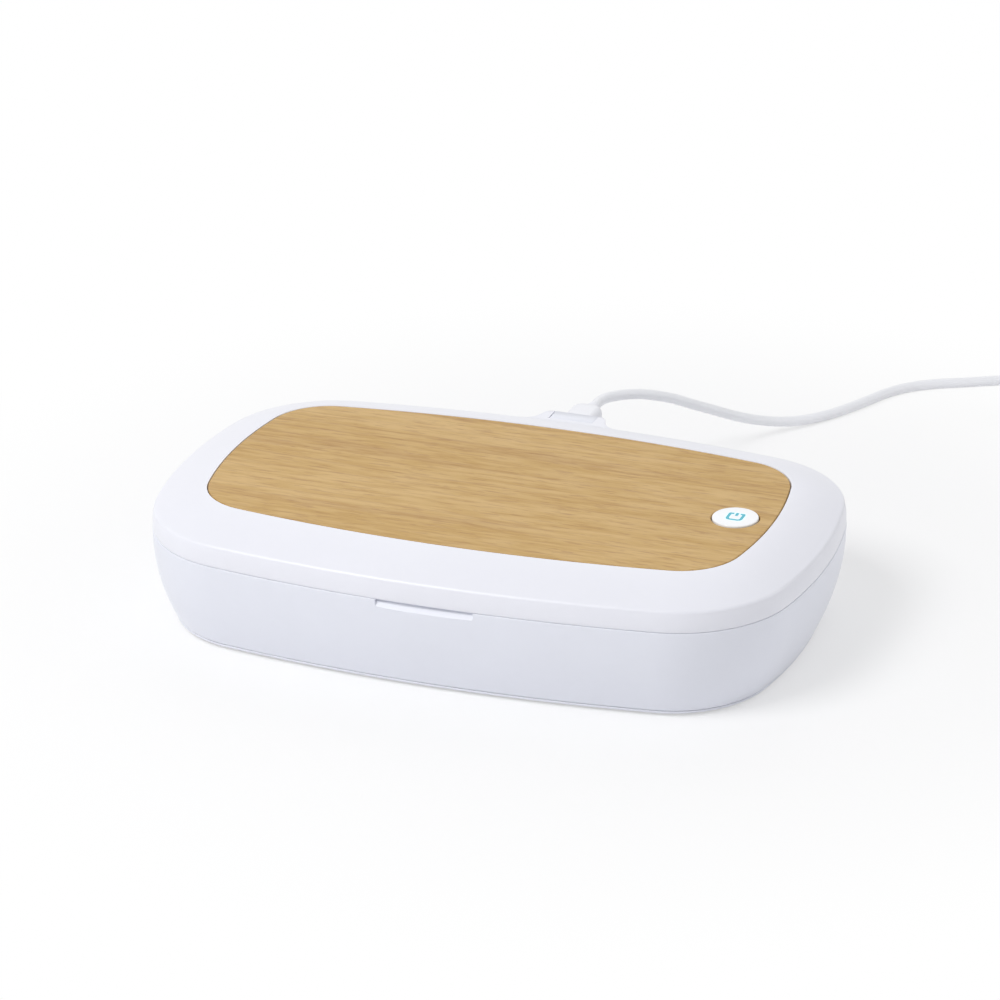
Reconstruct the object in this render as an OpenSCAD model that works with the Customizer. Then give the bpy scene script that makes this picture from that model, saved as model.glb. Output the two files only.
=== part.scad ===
// Ultraviolet sanitizer box with a wireless charging plate in its lid.
// The box stands on z = 0, its long side lies along X and its front faces -Y.

/* [Body] */
// Length of the box at the parting line
body_l = 216; // [212:1:222]
// Width of the box at the parting line
body_w = 134; // [130:1:138]
// Height of the charging plate above the table
body_h = 43; // [42.6:0.1:44]
// Radius of the long sides, seen from above
side_r = 504; // [460:1:560]
// Radius of the short ends, seen from above
end_r = 160; // [140:1:180]
// Radius of the corners, seen from above
corner_r = 38.4; // [36:0.1:41]
// Thickness of the moulded walls
wall = 2; // [1.8:0.1:2.2]

/* [Base] */
// Height of the parting line between base and lid
part_z = 30.6; // [30.4:0.1:30.8]
// How far the ends draw in from the parting line to the bottom
end_drop = 7.7; // [6:0.1:9]
// How far the long sides draw in from the parting line to the bottom
side_drop = 5.7; // [5:0.1:7]
// Curve of the sides: 1 is straight, more is rounder
side_curve = 2.3; // [1.8:0.1:2.8]
// Height of the seam above the bottom cover
seam_z = 1.85; // [1.7:0.05:2]
// Width of the finger recess under the lid
recess_w = 32; // [24:1:40]
// Diameter of a rubber foot
foot_d = 14; // [10:1:15]

/* [Lid] */
// Length of the wooden plate
plate_l = 180.5; // [178:0.5:183]
// Width of the wooden plate
plate_w = 96.5; // [94:0.5:99]
// Thickness of the wooden plate
plate_t = 1.8; // [1.4:0.1:2]
// Height of the soft crease round the lid
crease_z = 36.45; // [36:0.05:36.8]
// Radius of the soft crease
crease_r = 1.3; // [0.8:0.1:1.6]
// How far the rear hump stands out
hump_out = 8; // [7.5:0.1:8.5]
// Half width of the hump's flat rear face
hump_half = 8; // [7.8:0.1:9]

/* [Button] */
// Distance of the button from the middle of the plate
button_x = 78.2; // [74:0.1:79]
// Diameter of the button cap
button_d = 14.6; // [13:0.1:15]
// How far the cap stands above the plate
button_proud = 0.4; // [0.2:0.1:0.8]
// Travel of the button
button_travel = 0.5; // [0.3:0.1:0.6]
// Width of the lit mark
mark_w = 5.4; // [5:0.1:6.5]
// Width of the mark's line
mark_line = 0.8; // [0.6:0.05:1]

/* [Lead] */
// Diameter of the lead
cord_d = 3.5; // [3:0.1:3.8]
// Full turns of the first layer of the coil
coil_turns = 3; // [2:1:4]
// Distance between neighbouring turns of the coil
coil_pitch = 4; // [3.95:0.05:4.2]

/* [Hidden] */

// The hump makes the box longer to the rear, so the outline's centre lies forward of the origin
mid_y = -hump_out / 2;
foot_h = 0.6;
gap = 0.3;
lip_z = part_z - gap / 2;
lid_z = part_z + gap / 2;

// Heights of the stack inside the lid
film_t = 0.2;
deck_z = body_h - plate_t - film_t;
ceiling_z = deck_z - 1.6;
cover_z = part_z + 1;
cover_t = 1.6;
cover_top = cover_z + cover_t;
lamp_board_z = cover_top + 0.8;
cover_inset = wall + 0.6;
lid_board_z = ceiling_z - 3.2;
lid_board_t = 1.2;
lid_board_top = lid_board_z + lid_board_t;

// Heights of the stack inside the base
tray_z = part_z - 1.2;
ledge_z = tray_z - 1;
floor_z = 8;
floor_t = 1.6;
base_board_z = 3.4;
base_board_t = 1.2;
base_board_top = base_board_z + base_board_t;
cover_plate_top = 2.8;

// Hinge axis and port, in the tower at the rear
hinge_y = body_w / 2 + hump_out - 4.5;
hinge_z = 33;
tower_half = 7.4;
tower_r = 5.6;
tower_top = 37.6;
pin_r = 1.1;
pin_in = 5.2;
pin_out = 10.2;
rear_y = body_w / 2 + hump_out;
port_w = 9.2;
port_t = 3.4;
port_back = 3.7;
port_board_w = 12;
port_board_z = hinge_z - 2.58;

// Insets of the plate's pocket
plate_gap = 0.25;
rim_x = (body_l - plate_l) / 2 - plate_gap;
rim_y = (body_w - plate_w) / 2 - plate_gap;

// Places of what repeats
foot_at = [[78, 40], [-78, 40], [-78, -40], [78, -40]];
bottom_screw_at = [[56, 34], [-56, 34], [-56, -34], [56, -34]];
led_x = 45;
led_y = 18;
led_at = [[led_x, led_y], [-led_x, led_y], [-led_x, -led_y], [led_x, -led_y]];
lamp_post_at = [[led_x, 26], [led_x, -26], [-led_x, 26], [-led_x, -26]];
base_post_at = [[22, 21], [-22, 21], [-22, -21], [22, -21]];
bumper_at = [[94, 42], [-94, 42], [-94, -42], [94, -42]];
lid_screw_at = [[82, 36], [-82, 36], [-82, -36], [82, -36]];
lid_post_at = [[29, 25], [-29, 25], [-29, -25], [29, -25], [63, 8], [63, -8]];

// Screws of the two covers and of the boards, the lamps' openings, and the catch magnets
screw_head_d = 4.8;
screw_d = 2.2;
board_head_d = 3.6;
board_screw_d = 1.8;
lamp_hole_r = 4;
window_r = 5;
window_t = 1;
magnet_x = 50;
magnet_l = 10;
magnet_w = 2.6;
magnet_h = 3;

white = "#F2F2F7";
pearl = "#E6E8EE";
maple = "#D2AC78";
steel = "#C4C7CB";
board_green = "#2F6B4A";
copper = "#B87345";
smoke = "#4A4C50";
cyan = "#38C8DC";
quartz = [0.8, 0.85, 0.95, 0.5];

// ---------- outline of the box ----------

// Where two circles meet, on the right of the line from p to q
function meet(p, rp, q, rq) =
    let (v = q - p, d = norm(v), l = (rp * rp - rq * rq + d * d) / (2 * d), h = sqrt(rp * rp - l * l))
    p + v * l / d + [v.y, -v.x] * h / d;

// Stations along half of a long side, from the corner to the middle
function plain_x(xt) = [for (i = [0:3]) xt * (1 - i / 3)];

// The hump's flank: a rounded corner behind, a steep straight, and a wide fillet into the side
flank_a = 70;
flank_r = 2.6;
fillet_r = 6;
flank_drop = hump_out - (flank_r + fillet_r) * (1 - cos(flank_a));
flank_x = hump_half + flank_r * sin(flank_a);
fillet_x = flank_x + flank_drop / tan(flank_a);
hump_end = fillet_x + fillet_r * sin(flank_a);
function hump_x(xt) = concat(
    [for (i = [0:2]) hump_end + (xt - hump_end) * (1 - i / 3)],
    [for (a = [0, 25, 48, flank_a]) hump_end - fillet_r * sin(a)],
    [for (a = [flank_a, 35, 0]) hump_half + flank_r * sin(a)],
    [0]);

// Share of the hump's depth at x
function hump_depth(x) =
    x <= hump_half ? hump_out
    : x <= flank_x ? hump_out - flank_r + sqrt(pow(flank_r, 2) - pow(x - hump_half, 2))
    : x <= fillet_x ? hump_out - flank_r * (1 - cos(flank_a)) - (x - flank_x) * tan(flank_a)
    : x < hump_end ? fillet_r - sqrt(pow(fillet_r, 2) - pow(hump_end - x, 2))
    : 0;
function hump_at(x) = hump_depth(abs(x)) / hump_out;

// A quarter of the outline, from the middle of the end to the middle of the long side
function quarter(ix, iy, humped) =
    let (a = body_l / 2 - ix, b = body_w / 2 - iy, m = (ix + iy) / 2,
         rl = side_r - m, rs = end_r - m, rc = corner_r - m,
         pl = [0, b - rl], ps = [a - rs, 0],
         c = meet(pl, rl - rc, ps, rs - rc),
         al = atan2(c.y - pl.y, c.x - pl.x), as = atan2(c.y - ps.y, c.x - ps.x),
         xt = rl * cos(al))
    concat(
        [for (i = [0:2]) ps + rs * [cos(as * i / 3), sin(as * i / 3)]],
        [for (i = [0:9]) let (t = as + (al - as) * i / 10) c + rc * [cos(t), sin(t)]],
        [for (x = humped ? hump_x(xt) : plain_x(xt)) [x, pl.y + sqrt(rl * rl - x * x)]]);

// The whole outline drawn in by ix and iy, anticlockwise, with the hump pushed out by out
function outline(ix, iy, out = 0, humped = false) =
    let (q = quarter(ix, iy, humped), f = quarter(ix, iy, false), n = len(q) - 1, k = len(f) - 1)
    concat(
        [for (i = [0:n - 1]) [q[i].x, q[i].y + (q[i].y > 0 ? out * hump_at(q[i].x) : 0)]],
        [for (i = [0:n - 1]) let (p = q[n - i]) [-p.x, p.y + out * hump_at(p.x)]],
        [for (i = [0:k - 1]) -f[i]],
        [for (i = [0:k - 1]) let (p = f[k - i]) [p.x, -p.y]]);

function lift(points, z) = [for (p = points) [p.x, p.y, z]];
function join(rows) = [for (r = rows) for (p = r) p];

// Two triangles between each pair of neighbouring points of two rings
function band(n, lower, upper) = [
    for (j = [0:n - 1])
        let (k = (j + 1) % n)
        each [[lower + j, upper + k, lower + k], [lower + j, upper + j, upper + k]]
];

// A closed skin through rings that go round a wall's section
module ring_loft(rings) {
    n = len(rings[0]);
    m = len(rings);
    polyhedron(
        points = join(rings),
        faces = join([for (i = [0:m - 1]) band(n, i * n, ((i + 1) % m) * n)]));
}

// A closed skin through rings, with a flat face on the first and the last
module capped_loft(rings) {
    n = len(rings[0]);
    m = len(rings);
    polyhedron(
        points = join(rings),
        faces = concat(
            [[for (j = [0:n - 1]) j]],
            join([for (i = [0:m - 2]) band(n, i * n, (i + 1) * n)]),
            [[for (j = [0:n - 1]) (m - 1) * n + n - 1 - j]]));
}

// Everything of the box is drawn about its own middle and set back here
module seated() {
    translate([0, mid_y, 0]) children();
}

module at(places, z = 0) {
    for (p = places) translate([p.x, p.y, z]) children();
}

module along_x(x, y, z) {
    translate([x, y, z]) rotate([90, 0, 90]) children();
}

module slab(ix, iy, z, t) {
    translate([0, 0, z]) linear_extrude(t) polygon(outline(ix, iy));
}

module block(x0, x1, y0, y1, z0, z1) {
    translate([x0, y0, z0]) cube([x1 - x0, y1 - y0, z1 - z0]);
}

module tube_of(r, z0, z1) {
    translate([0, 0, z0]) cylinder(r = r, h = z1 - z0, $fn = 48);
}

module rounded(w, h, r) {
    hull() for (x = [-1, 1], y = [-1, 1])
        translate([x * (w / 2 - r), y * (h / 2 - r)]) circle(r, $fn = 24);
}

// A slot with round ends, built from exact pieces
module stadium(w, h) {
    square([w - h, h], center = true);
    for (s = [-1, 1]) translate([s * (w - h) / 2, 0]) circle(d = h, $fn = 32);
}

// Stands a drawing of X and Z up, and pulls it from y to y + l
module along_y(y, z, l) {
    translate([0, y + l, z]) rotate([90, 0, 0]) linear_extrude(l) children();
}

// A pan-head screw that points up, its head's lower face at z
module screw(head_d, head_h, shank_d, length) {
    difference() {
        union() {
            tube_of(head_d / 2, 0, head_h);
            tube_of(shank_d / 2, head_h, head_h + length);
        }
        for (a = [0, 90]) rotate(a)
            translate([0, 0, head_h * 0.25]) cube([head_d * 0.6, 0.6, head_h], center = true);
    }
}

// ---------- base ----------

function inset_at(z) = pow(1 - (z - foot_h) / (part_z - foot_h), side_curve);
function base_ring(z, more) =
    let (s = inset_at(z))
    lift(outline(end_drop * s + more, side_drop * s + more), z);

module base_skin() {
    skin = wall + 0.2;
    outer = [seam_z + 0.15, 4.5, 8, 12.5, 18, 24, lip_z];
    inner = [18, 12.5, 8, 4.5, seam_z + 0.15];
    ring_loft(concat(
        [for (z = outer) base_ring(z, 0)],
        [lift(outline(wall, wall), lip_z)],
        [lift(outline(wall, wall), ledge_z)],
        [lift(outline(wall * 2, wall * 2), ledge_z)],
        [lift(outline(wall * 2, wall * 2), ledge_z - 1.2)],
        [base_ring(24.5, skin)],
        [for (z = inner) base_ring(z, skin)]));
}

// Section of the port tower: a knuckle about the hinge axis, with a swept chin below it
module tower_section() {
    intersection() {
        circle(r = tower_r, $fn = 96);
        translate([-10, -10]) square([10 + rear_y - hinge_y, 10 + tower_top - hinge_z]);
    }
    drop = 13.7;
    reach = 7.7;
    back = rear_y - hinge_y;
    chin = -3.3;
    polygon(concat(
        [[-5, 0], [-5, chin - drop], [back - reach, chin - drop]],
        [for (a = [90:-15:0]) [back - reach * sin(a), chin - drop + drop * cos(a)]],
        [[back, 0]]));
}

module tower() {
    along_x(-tower_half, hinge_y, hinge_z) linear_extrude(tower_half * 2) tower_section();
}

// Shallow scoop with round lower corners: a slope that turns upright under the lid's edge
recess_t = 1.4;
recess_h = 2.8;
module finger_recess() {
    low = part_z - recess_h;
    slope = recess_t * 0.8;
    intersection() {
        along_x(-recess_w / 2, -body_w / 2, low)
            linear_extrude(recess_w)
                polygon([[-2, 0], [0, 0], [slope, slope], [recess_t, slope + 0.5], [recess_t, 4], [-2, 4]]);
        translate([0, 5 - body_w / 2, low + recess_h]) rotate([90, 0, 0])
            linear_extrude(10) rounded(recess_w, recess_h * 2, 1.6);
    }
}

// A catch magnet's pocket, holder_wall thick all round apart from its open top
pocket_gap = 0.05;
holder_wall = 1;
module magnet_holder() {
    x = magnet_l / 2 + holder_wall;
    y = magnet_w / 2 + holder_wall / 2;
    for (s = [-1, 1])
        block(s * magnet_x - x, s * magnet_x + x, magnet_y - y, magnet_y + y,
              ledge_z - magnet_h - 1.2, ledge_z);
}

module magnet_pocket() {
    x = magnet_l / 2 + pocket_gap;
    y = magnet_w / 2 + pocket_gap;
    for (s = [-1, 1])
        block(s * magnet_x - x, s * magnet_x + x, magnet_y - y, magnet_y + y,
              ledge_z - magnet_h - pocket_gap * 2, ledge_z + 1);
}

// Room in the tower for the port, its board and the wires down from it
module port_cavity() {
    along_y(hinge_y - port_back, hinge_z, 9) stadium(port_w, port_t);
    block(-port_board_w / 2 - 0.1, port_board_w / 2 + 0.1, hinge_y - port_back - 0.1, hinge_y + 3.4,
          port_board_z, hinge_z - 1.5);
    block(-3, 3, hinge_y - 8, hinge_y - 1.6, hinge_z - 7.5, hinge_z - 5);
    block(-3, 3, hinge_y - 3.6, hinge_y - 1.6, hinge_z - 7.5, port_board_z + 0.08);
}

// The magnets lie beside the tray's wall, where the long side has curved in a little
magnet_y = -(body_w / 2 - magnet_x * magnet_x / (2 * side_r) - 4.1);

module base_shell() {
    color(pearl) seated() difference() {
        union() {
            base_skin();
            tower();
            magnet_holder();
        }
        finger_recess();
        magnet_pocket();
        port_cavity();
        for (s = [-1, 1])
            along_x(s > 0 ? pin_in : -pin_in - 4, hinge_y, hinge_z) cylinder(r = pin_r, h = 4, $fn = 48);
    }
}

foot_seat = 0.9;
module bottom_cover() {
    edge = inset_at(seam_z);
    spigot = wall + 0.45;
    color(pearl) seated() difference() {
        capped_loft([
            for (s = [
                [1, 1.1, foot_h], [1, 0.3, foot_h + 0.25], [edge, 0, seam_z - 0.5], [edge, 0, seam_z],
                [edge, spigot, seam_z], [edge, spigot, cover_plate_top]
            ]) lift(outline(end_drop * s[0] + s[1], side_drop * s[0] + s[1]), s[2])
        ]);
        at(foot_at, foot_h) tube_of(foot_d / 2 + 0.15, -1, foot_seat);
        at(bottom_screw_at, foot_h) {
            tube_of(screw_head_d / 2 + 0.2, -1, 1.3);
            tube_of(screw_d / 2 + 0.2, 0, 5);
        }
    }
}

module rubber_feet() {
    top = foot_h + foot_seat;
    color(smoke) seated() at(foot_at)
        rotate_extrude($fn = 64) polygon([
            [0, 0], [foot_d / 2 - 0.8, 0], [foot_d / 2 - 0.3, 0.2], [foot_d / 2, 0.6],
            [foot_d / 2, top], [0, top]]);
}

module bottom_screws() {
    color(steel) seated() at(bottom_screw_at, foot_h + 0.2) screw(screw_head_d, 1.1, screw_d, 5.3);
}

// ---------- chamber ----------

module tray_skin() {
    capped_loft([
        for (s = [
            [20, floor_z - floor_t], [16, floor_z - floor_t + 0.2], [12.5, 8.4], [9.2, 13.5], [7, 23],
            [6.5, ledge_z], [wall + 0.3, ledge_z], [wall + 0.3, tray_z], [8, tray_z], [8.6, 23],
            [10.8, 14.3], [14, 9.7], [17.5, 8.2], [20.5, floor_z]
        ]) lift(outline(s.x, s.x), s.y)
    ]);
}

module rest_ribs() {
    for (x = [-70, -24, 0, 24, 70])
        translate([x, 0, floor_z - 0.2]) linear_extrude(1.2) rotate(90) stadium(x == 0 ? 76 : 64, 2);
}

module liner_tray() {
    color("#EDEEF2") seated() difference() {
        union() {
            tray_skin();
            rest_ribs();
            at(bottom_screw_at) tube_of(3, cover_plate_top, floor_z - 1);
            at(base_post_at) tube_of(2.4, base_board_top, floor_z - 1);
        }
        at(led_at) {
            tube_of(lamp_hole_r, 0, floor_z + 1);
            tube_of(window_r + 0.1, floor_z - window_t, floor_z + 1);
        }
        at(bottom_screw_at) tube_of(screw_d / 2, 0, floor_z - 0.7);
        at(base_post_at) tube_of(board_screw_d / 2, 0, floor_z - 0.8);
    }
}

module lower_windows() {
    color(quartz) seated() at(led_at) tube_of(window_r, floor_z - window_t, floor_z);
}

module uv_led() {
    block(-1.75, 1.75, -1.75, 1.75, 0, 0.7);
    intersection() {
        translate([0, 0, 0.1]) sphere(r = 1.2, $fn = 32);
        tube_of(3, 0.5, 2);
    }
}

module lower_uv_leds() {
    color("#D9C7F2") seated() at(led_at, base_board_top) uv_led();
}

module base_board() {
    color(board_green) seated() difference() {
        union() {
            translate([0, 0, base_board_z]) linear_extrude(base_board_t) rounded(120, 52, 3);
            block(-5, 5, -5, 5, base_board_top - 0.1, base_board_top + 1.1);
            block(12, 18, -4, 4, base_board_top - 0.1, base_board_top + 1.4);
            block(-22, -15, -3, 3, base_board_top - 0.1, base_board_top + 0.9);
            block(-8, 8, 19, 24, base_board_top - 0.1, base_board_top + 1.5);
        }
        at(base_post_at) tube_of(board_screw_d / 2 + 0.2, 0, floor_z);
    }
}

module board_screws() {
    color(steel) seated() at(base_post_at, base_board_z - 0.5) screw(board_head_d, 0.5, board_screw_d, 3.6);
}

// ---------- port, hinge and catch ----------

module usb_receptacle() {
    outer_w = port_w - 0.26;
    outer_t = port_t - 0.24;
    sheet = 0.3;
    color(steel) seated() {
        difference() {
            along_y(hinge_y - 3.3, hinge_z, 7.2) stadium(outer_w, outer_t);
            along_y(hinge_y - 2.5, hinge_z, 7.2) stadium(outer_w - 2 * sheet, outer_t - 2 * sheet);
        }
        block(-3.3, 3.3, hinge_y - 2.6, hinge_y + 2.5, hinge_z - 0.3, hinge_z + 0.3);
    }
}

module port_board() {
    x = port_board_w / 2;
    color(board_green) seated()
        block(-x, x, hinge_y - port_back, hinge_y + 3.3, port_board_z, port_board_z + 1);
}

module hinge_pins() {
    color(steel) seated() for (s = [-1, 1])
        along_x(s > 0 ? pin_in : -pin_out, hinge_y, hinge_z)
            cylinder(r = pin_r, h = pin_out - pin_in, $fn = 48);
}

module magnet_pair(y, z) {
    for (s = [-1, 1])
        block(s * magnet_x - magnet_l / 2, s * magnet_x + magnet_l / 2,
              y - magnet_w / 2, y + magnet_w / 2, z, z + magnet_h);
}

module base_magnets() {
    color(steel) seated() magnet_pair(magnet_y, ledge_z - magnet_h - 0.1);
}

module lid_sensor() {
    front = 5.2 - body_w / 2;
    color(smoke) seated() block(28, 32, front, front + 1.6, ledge_z - 3, ledge_z);
}

module lid_bumpers() {
    color("#D5D8DC") seated() at(bumper_at) tube_of(1.5, tray_z, cover_z - 0.05);
}

// ---------- lid ----------

crease_end = 66;
side_lean = 0.6;
rim_start = crease_r * (1 - cos(crease_end)) + side_lean;
rim_low = crease_z + crease_r * sin(crease_end);
rim_bow = 1.38;

// The rim's top: steeper at the crease, flatter at the plate
function rim_ring(u) =
    lift(outline(rim_start + u * (rim_x - rim_start), rim_start + u * (rim_y - rim_start), 0, true),
         rim_low + (body_h - rim_low) * (rim_bow * u + (1 - rim_bow) * u * u));

module lid_skin() {
    capped_loft(concat(
        [for (s = [
            [19, ceiling_z], [11, ceiling_z], [6, 37.9], [3.2, 36.3], [2.3, 34.6], [wall + 0.1, lid_z]
        ]) lift(outline(s.x, s.x, 0, true), s.y)],
        [lift(outline(0.1, 0.1, hump_out, true), lid_z)],
        [for (i = [0:3]) let (a = crease_end * i / 3, s = crease_r * (1 - cos(a)) + side_lean)
            lift(outline(s, s, hump_out, true), crease_z + crease_r * sin(a))],
        [for (u = [0.02, 0.25, 0.5, 0.75, 1]) rim_ring(u)],
        [lift(outline(rim_x, rim_y, 0, true), deck_z)]));
}

module hinge_notch() {
    half = tower_half + gap;
    along_x(-half, hinge_y, hinge_z) cylinder(r = tower_r + gap, h = half * 2, $fn = 96);
    block(-half, half, hinge_y, rear_y + 2, lid_z - 1, body_h);
}

module lid_shell() {
    color(white) seated() difference() {
        union() {
            lid_skin();
            at(lid_screw_at) tube_of(3.2, cover_top, ceiling_z + 0.5);
            at(lid_post_at) tube_of(2.5, lid_board_top, ceiling_z + 0.5);
        }
        hinge_notch();
        for (s = [-1, 1])
            along_x(s > 0 ? tower_half : -pin_out - 0.1, hinge_y, hinge_z)
                cylinder(r = pin_r + 0.06, h = pin_out + 0.1 - tower_half, $fn = 48);
        translate([button_x, 0, 0]) tube_of(button_d / 2 + 0.1, ceiling_z - 1, body_h);
        at(lid_screw_at) tube_of(screw_d / 2, cover_z, ceiling_z + 0.2);
        at(lid_post_at) tube_of(board_screw_d / 2, lid_board_z, ceiling_z + 0.2);
    }
}

module wood_plate() {
    color(maple) seated() difference() {
        slab(rim_x + plate_gap, rim_y + plate_gap, deck_z + film_t, plate_t);
        translate([button_x, 0, 0]) tube_of(button_d / 2 + 0.4, deck_z, body_h + 1);
    }
}

module plate_adhesive() {
    color("#C9C6BC") seated() difference() {
        slab(rim_x + 2, rim_y + 2, deck_z, film_t);
        translate([button_x, 0, 0]) tube_of(button_d / 2 + 1.5, deck_z - 1, body_h);
    }
}

// Room for the tower behind the inner cover
module hinge_clearance() {
    half = tower_half + 1.6;
    along_x(-half, hinge_y, hinge_z) cylinder(r = tower_r + gap * 2, h = half * 2, $fn = 96);
}

module inner_cover() {
    color("#DDE0E6") seated() difference() {
        union() {
            slab(cover_inset, cover_inset, cover_z, cover_t);
            at(lamp_post_at) tube_of(1.8, cover_top - 0.2, lamp_board_z);
        }
        at(led_at) {
            tube_of(lamp_hole_r, 0, body_h);
            tube_of(window_r + 0.1, 0, cover_z + window_t);
        }
        at(lid_screw_at) {
            tube_of(screw_head_d / 2 + 0.2, 0, cover_z + 1);
            tube_of(screw_d / 2 + 0.2, 0, body_h);
        }
        hinge_clearance();
    }
}

// Soft lip under the edge of the inner cover, which keeps the light in
module lid_seal() {
    depth = 1.7;
    color(smoke) seated() difference() {
        slab(cover_inset + 0.1, cover_inset + 0.1, cover_z - depth, depth);
        slab(cover_inset + 1.4, cover_inset + 1.4, cover_z - depth - 1, depth + 2);
        hinge_clearance();
    }
}

module lid_screws() {
    color(steel) seated() at(lid_screw_at, cover_z + 0.1) screw(screw_head_d, 0.9, screw_d, 5);
}

module upper_windows() {
    color(quartz) seated() at(led_at) tube_of(window_r, cover_z, cover_z + window_t);
}

module upper_uv_leds() {
    color("#D9C7F2") seated() at(led_at, lamp_board_z) mirror([0, 0, 1]) uv_led();
}

module upper_led_boards() {
    color(board_green) seated() for (s = [-1, 1])
        translate([s * led_x, 0, lamp_board_z]) linear_extrude(1) rounded(12, 60, 1.5);
}

module lid_board() {
    color(board_green) seated() difference() {
        translate([0, 0, lid_board_z]) linear_extrude(lid_board_t) {
            square([68, 60], center = true);
            translate([30, -12]) square([60, 24]);
        }
        at(lid_post_at) tube_of(board_screw_d / 2 + 0.2, 0, body_h);
    }
}

module lid_board_screws() {
    color(steel) seated() at(lid_post_at, lid_board_z - 0.5) screw(board_head_d, 0.5, board_screw_d, 3.2);
}

module charging_coil() {
    color(copper) seated() difference() {
        tube_of(22, ceiling_z - 1.2, ceiling_z);
        tube_of(10, ceiling_z - 2, ceiling_z + 1);
    }
}

module ferrite_sheet() {
    color(smoke) seated() translate([0, 0, lid_board_top]) linear_extrude(0.8) rounded(48, 48, 2);
}

module lid_magnets() {
    color(steel) seated() magnet_pair(magnet_y + 1.5, cover_top);
}

// ---------- button ----------

cap_z = body_h + button_proud;
cap_under = cap_z - 1.4;
skirt_z = lid_board_top + button_travel + 0.4;
flange_top = ceiling_z - 0.05;
plunger_z = cap_under - 1.5;
stem_r = 1.5;
guide_r = 4.4;
guide_t = 0.6;
mark_bar = 2;

// Square mark with soft corners, open behind for the short bar of a standby sign
module mark() {
    slot = mark_line * 2.2;
    difference() {
        rounded(mark_w, mark_w, mark_line * 1.5);
        rounded(mark_w - 2 * mark_line, mark_w - 2 * mark_line, mark_line * 0.8);
        translate([-slot / 2, 0]) square([slot, mark_w]);
    }
    translate([-mark_line / 2, mark_w / 2 - mark_bar]) square([mark_line, mark_bar + 0.2]);
}

module button_cap() {
    r = button_d / 2;
    color(white) seated() translate([button_x, 0, 0]) difference() {
        rotate_extrude($fn = 96) polygon([
            [0, plunger_z], [stem_r, plunger_z], [stem_r, cap_under],
            [r - 1.2, cap_under], [r - 1.2, skirt_z], [r + 1, skirt_z], [r + 1, flange_top],
            [r, flange_top], [r, cap_z - 0.35], [r - 0.1, cap_z - 0.1], [r - 0.35, cap_z], [0, cap_z]]);
        translate([0, 0, cap_under - 1]) linear_extrude(4) mark();
    }
}

module icon_light_guide() {
    color(cyan) seated() translate([button_x, 0, 0]) {
        translate([0, 0, cap_under - 0.1]) linear_extrude(cap_z - cap_under + 0.1) mark();
        difference() {
            tube_of(guide_r, cap_under - guide_t, cap_under);
            tube_of(stem_r + 0.05, 0, body_h);
        }
    }
}

module switch_plunger() {
    color(smoke) seated() translate([button_x, 0, 0]) tube_of(1.7, lid_board_top + 1.2, plunger_z);
}

module tact_switch() {
    color(steel) seated() translate([button_x, 0, 0]) difference() {
        block(-3.1, 3.1, -3.1, 3.1, lid_board_top, lid_board_top + 2);
        tube_of(1.76, lid_board_top + 0.6, body_h);
    }
}

module status_leds() {
    color(cyan) seated() for (s = [-1, 1])
        translate([button_x + s * 4.5, 0, 0]) block(-0.5, 0.5, -0.8, 0.8, lid_board_top, lid_board_top + 0.6);
}

// ---------- lead ----------

plug_w = 10.8;
plug_t = 6.4;
plug_l = 11.5;
relief_l = 4.5;
relief_r = 2.5;
relief_tip = cord_d / 2 + 0.25;
plug_y = mid_y + rear_y;
cord_y = plug_y + plug_l + relief_l;

// A rounded section of w by h, as a ring of points at y
function section(w, h, r, y) = [
    for (q = [0:3], i = [0:4])
        let (a = q * 90 + i * 22.5, sx = q == 0 || q == 3 ? 1 : -1, sz = q < 2 ? 1 : -1)
        [sx * (w / 2 - r) + r * cos(a), y, sz * (h / 2 - r) + r * sin(a)]
];

// A moulded grip through rounded sections, each [width, height, corner, y]
module grip(sections) {
    capped_loft([
        for (s = sections)
            let (p = section(s[0], s[1], s[2], s[3]))
            [for (i = [len(p) - 1:-1:0]) p[i]]
    ]);
}

module plug_body() {
    color(white) translate([0, plug_y, hinge_z]) grip([
        [plug_w - 0.8, plug_t - 0.8, 2, 0], [plug_w, plug_t, 2.3, 0.5], [plug_w, plug_t, 2.4, plug_l * 0.72],
        [plug_w - 0.6, plug_t - 0.2, 2.6, plug_l * 0.86], [plug_w - 2.2, plug_t - 0.8, 2.6, plug_l * 0.96],
        [plug_w - 3.8, plug_t - 1.6, 2.2, plug_l]]);
}

module plug_nose() {
    color(steel) seated() difference() {
        along_y(rear_y - 6.6, hinge_z, 6.6) stadium(8.25, 2.4);
        along_y(rear_y - 7, hinge_z, 6) stadium(7.1, 1.3);
    }
}

// Collar and tapered sleeve with three rounded ribs, from y = 0 to length l
module relief(l, r0, r1) {
    rotate([-90, 0, 0]) rotate_extrude($fn = 48) polygon(concat(
        [[0, 0], [r0, 0]],
        [for (i = [0:23]) let (t = (i + 0.5) / 24, dip = pow(sin(540 * t), 2) * 0.25)
            [r0 + (r1 - r0) * t - dip, l * t]],
        [[r1, l], [0, l]]));
}

module strain_relief() {
    color(white) translate([0, plug_y + plug_l, hinge_z]) relief(relief_l, relief_r, relief_tip);
}

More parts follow.
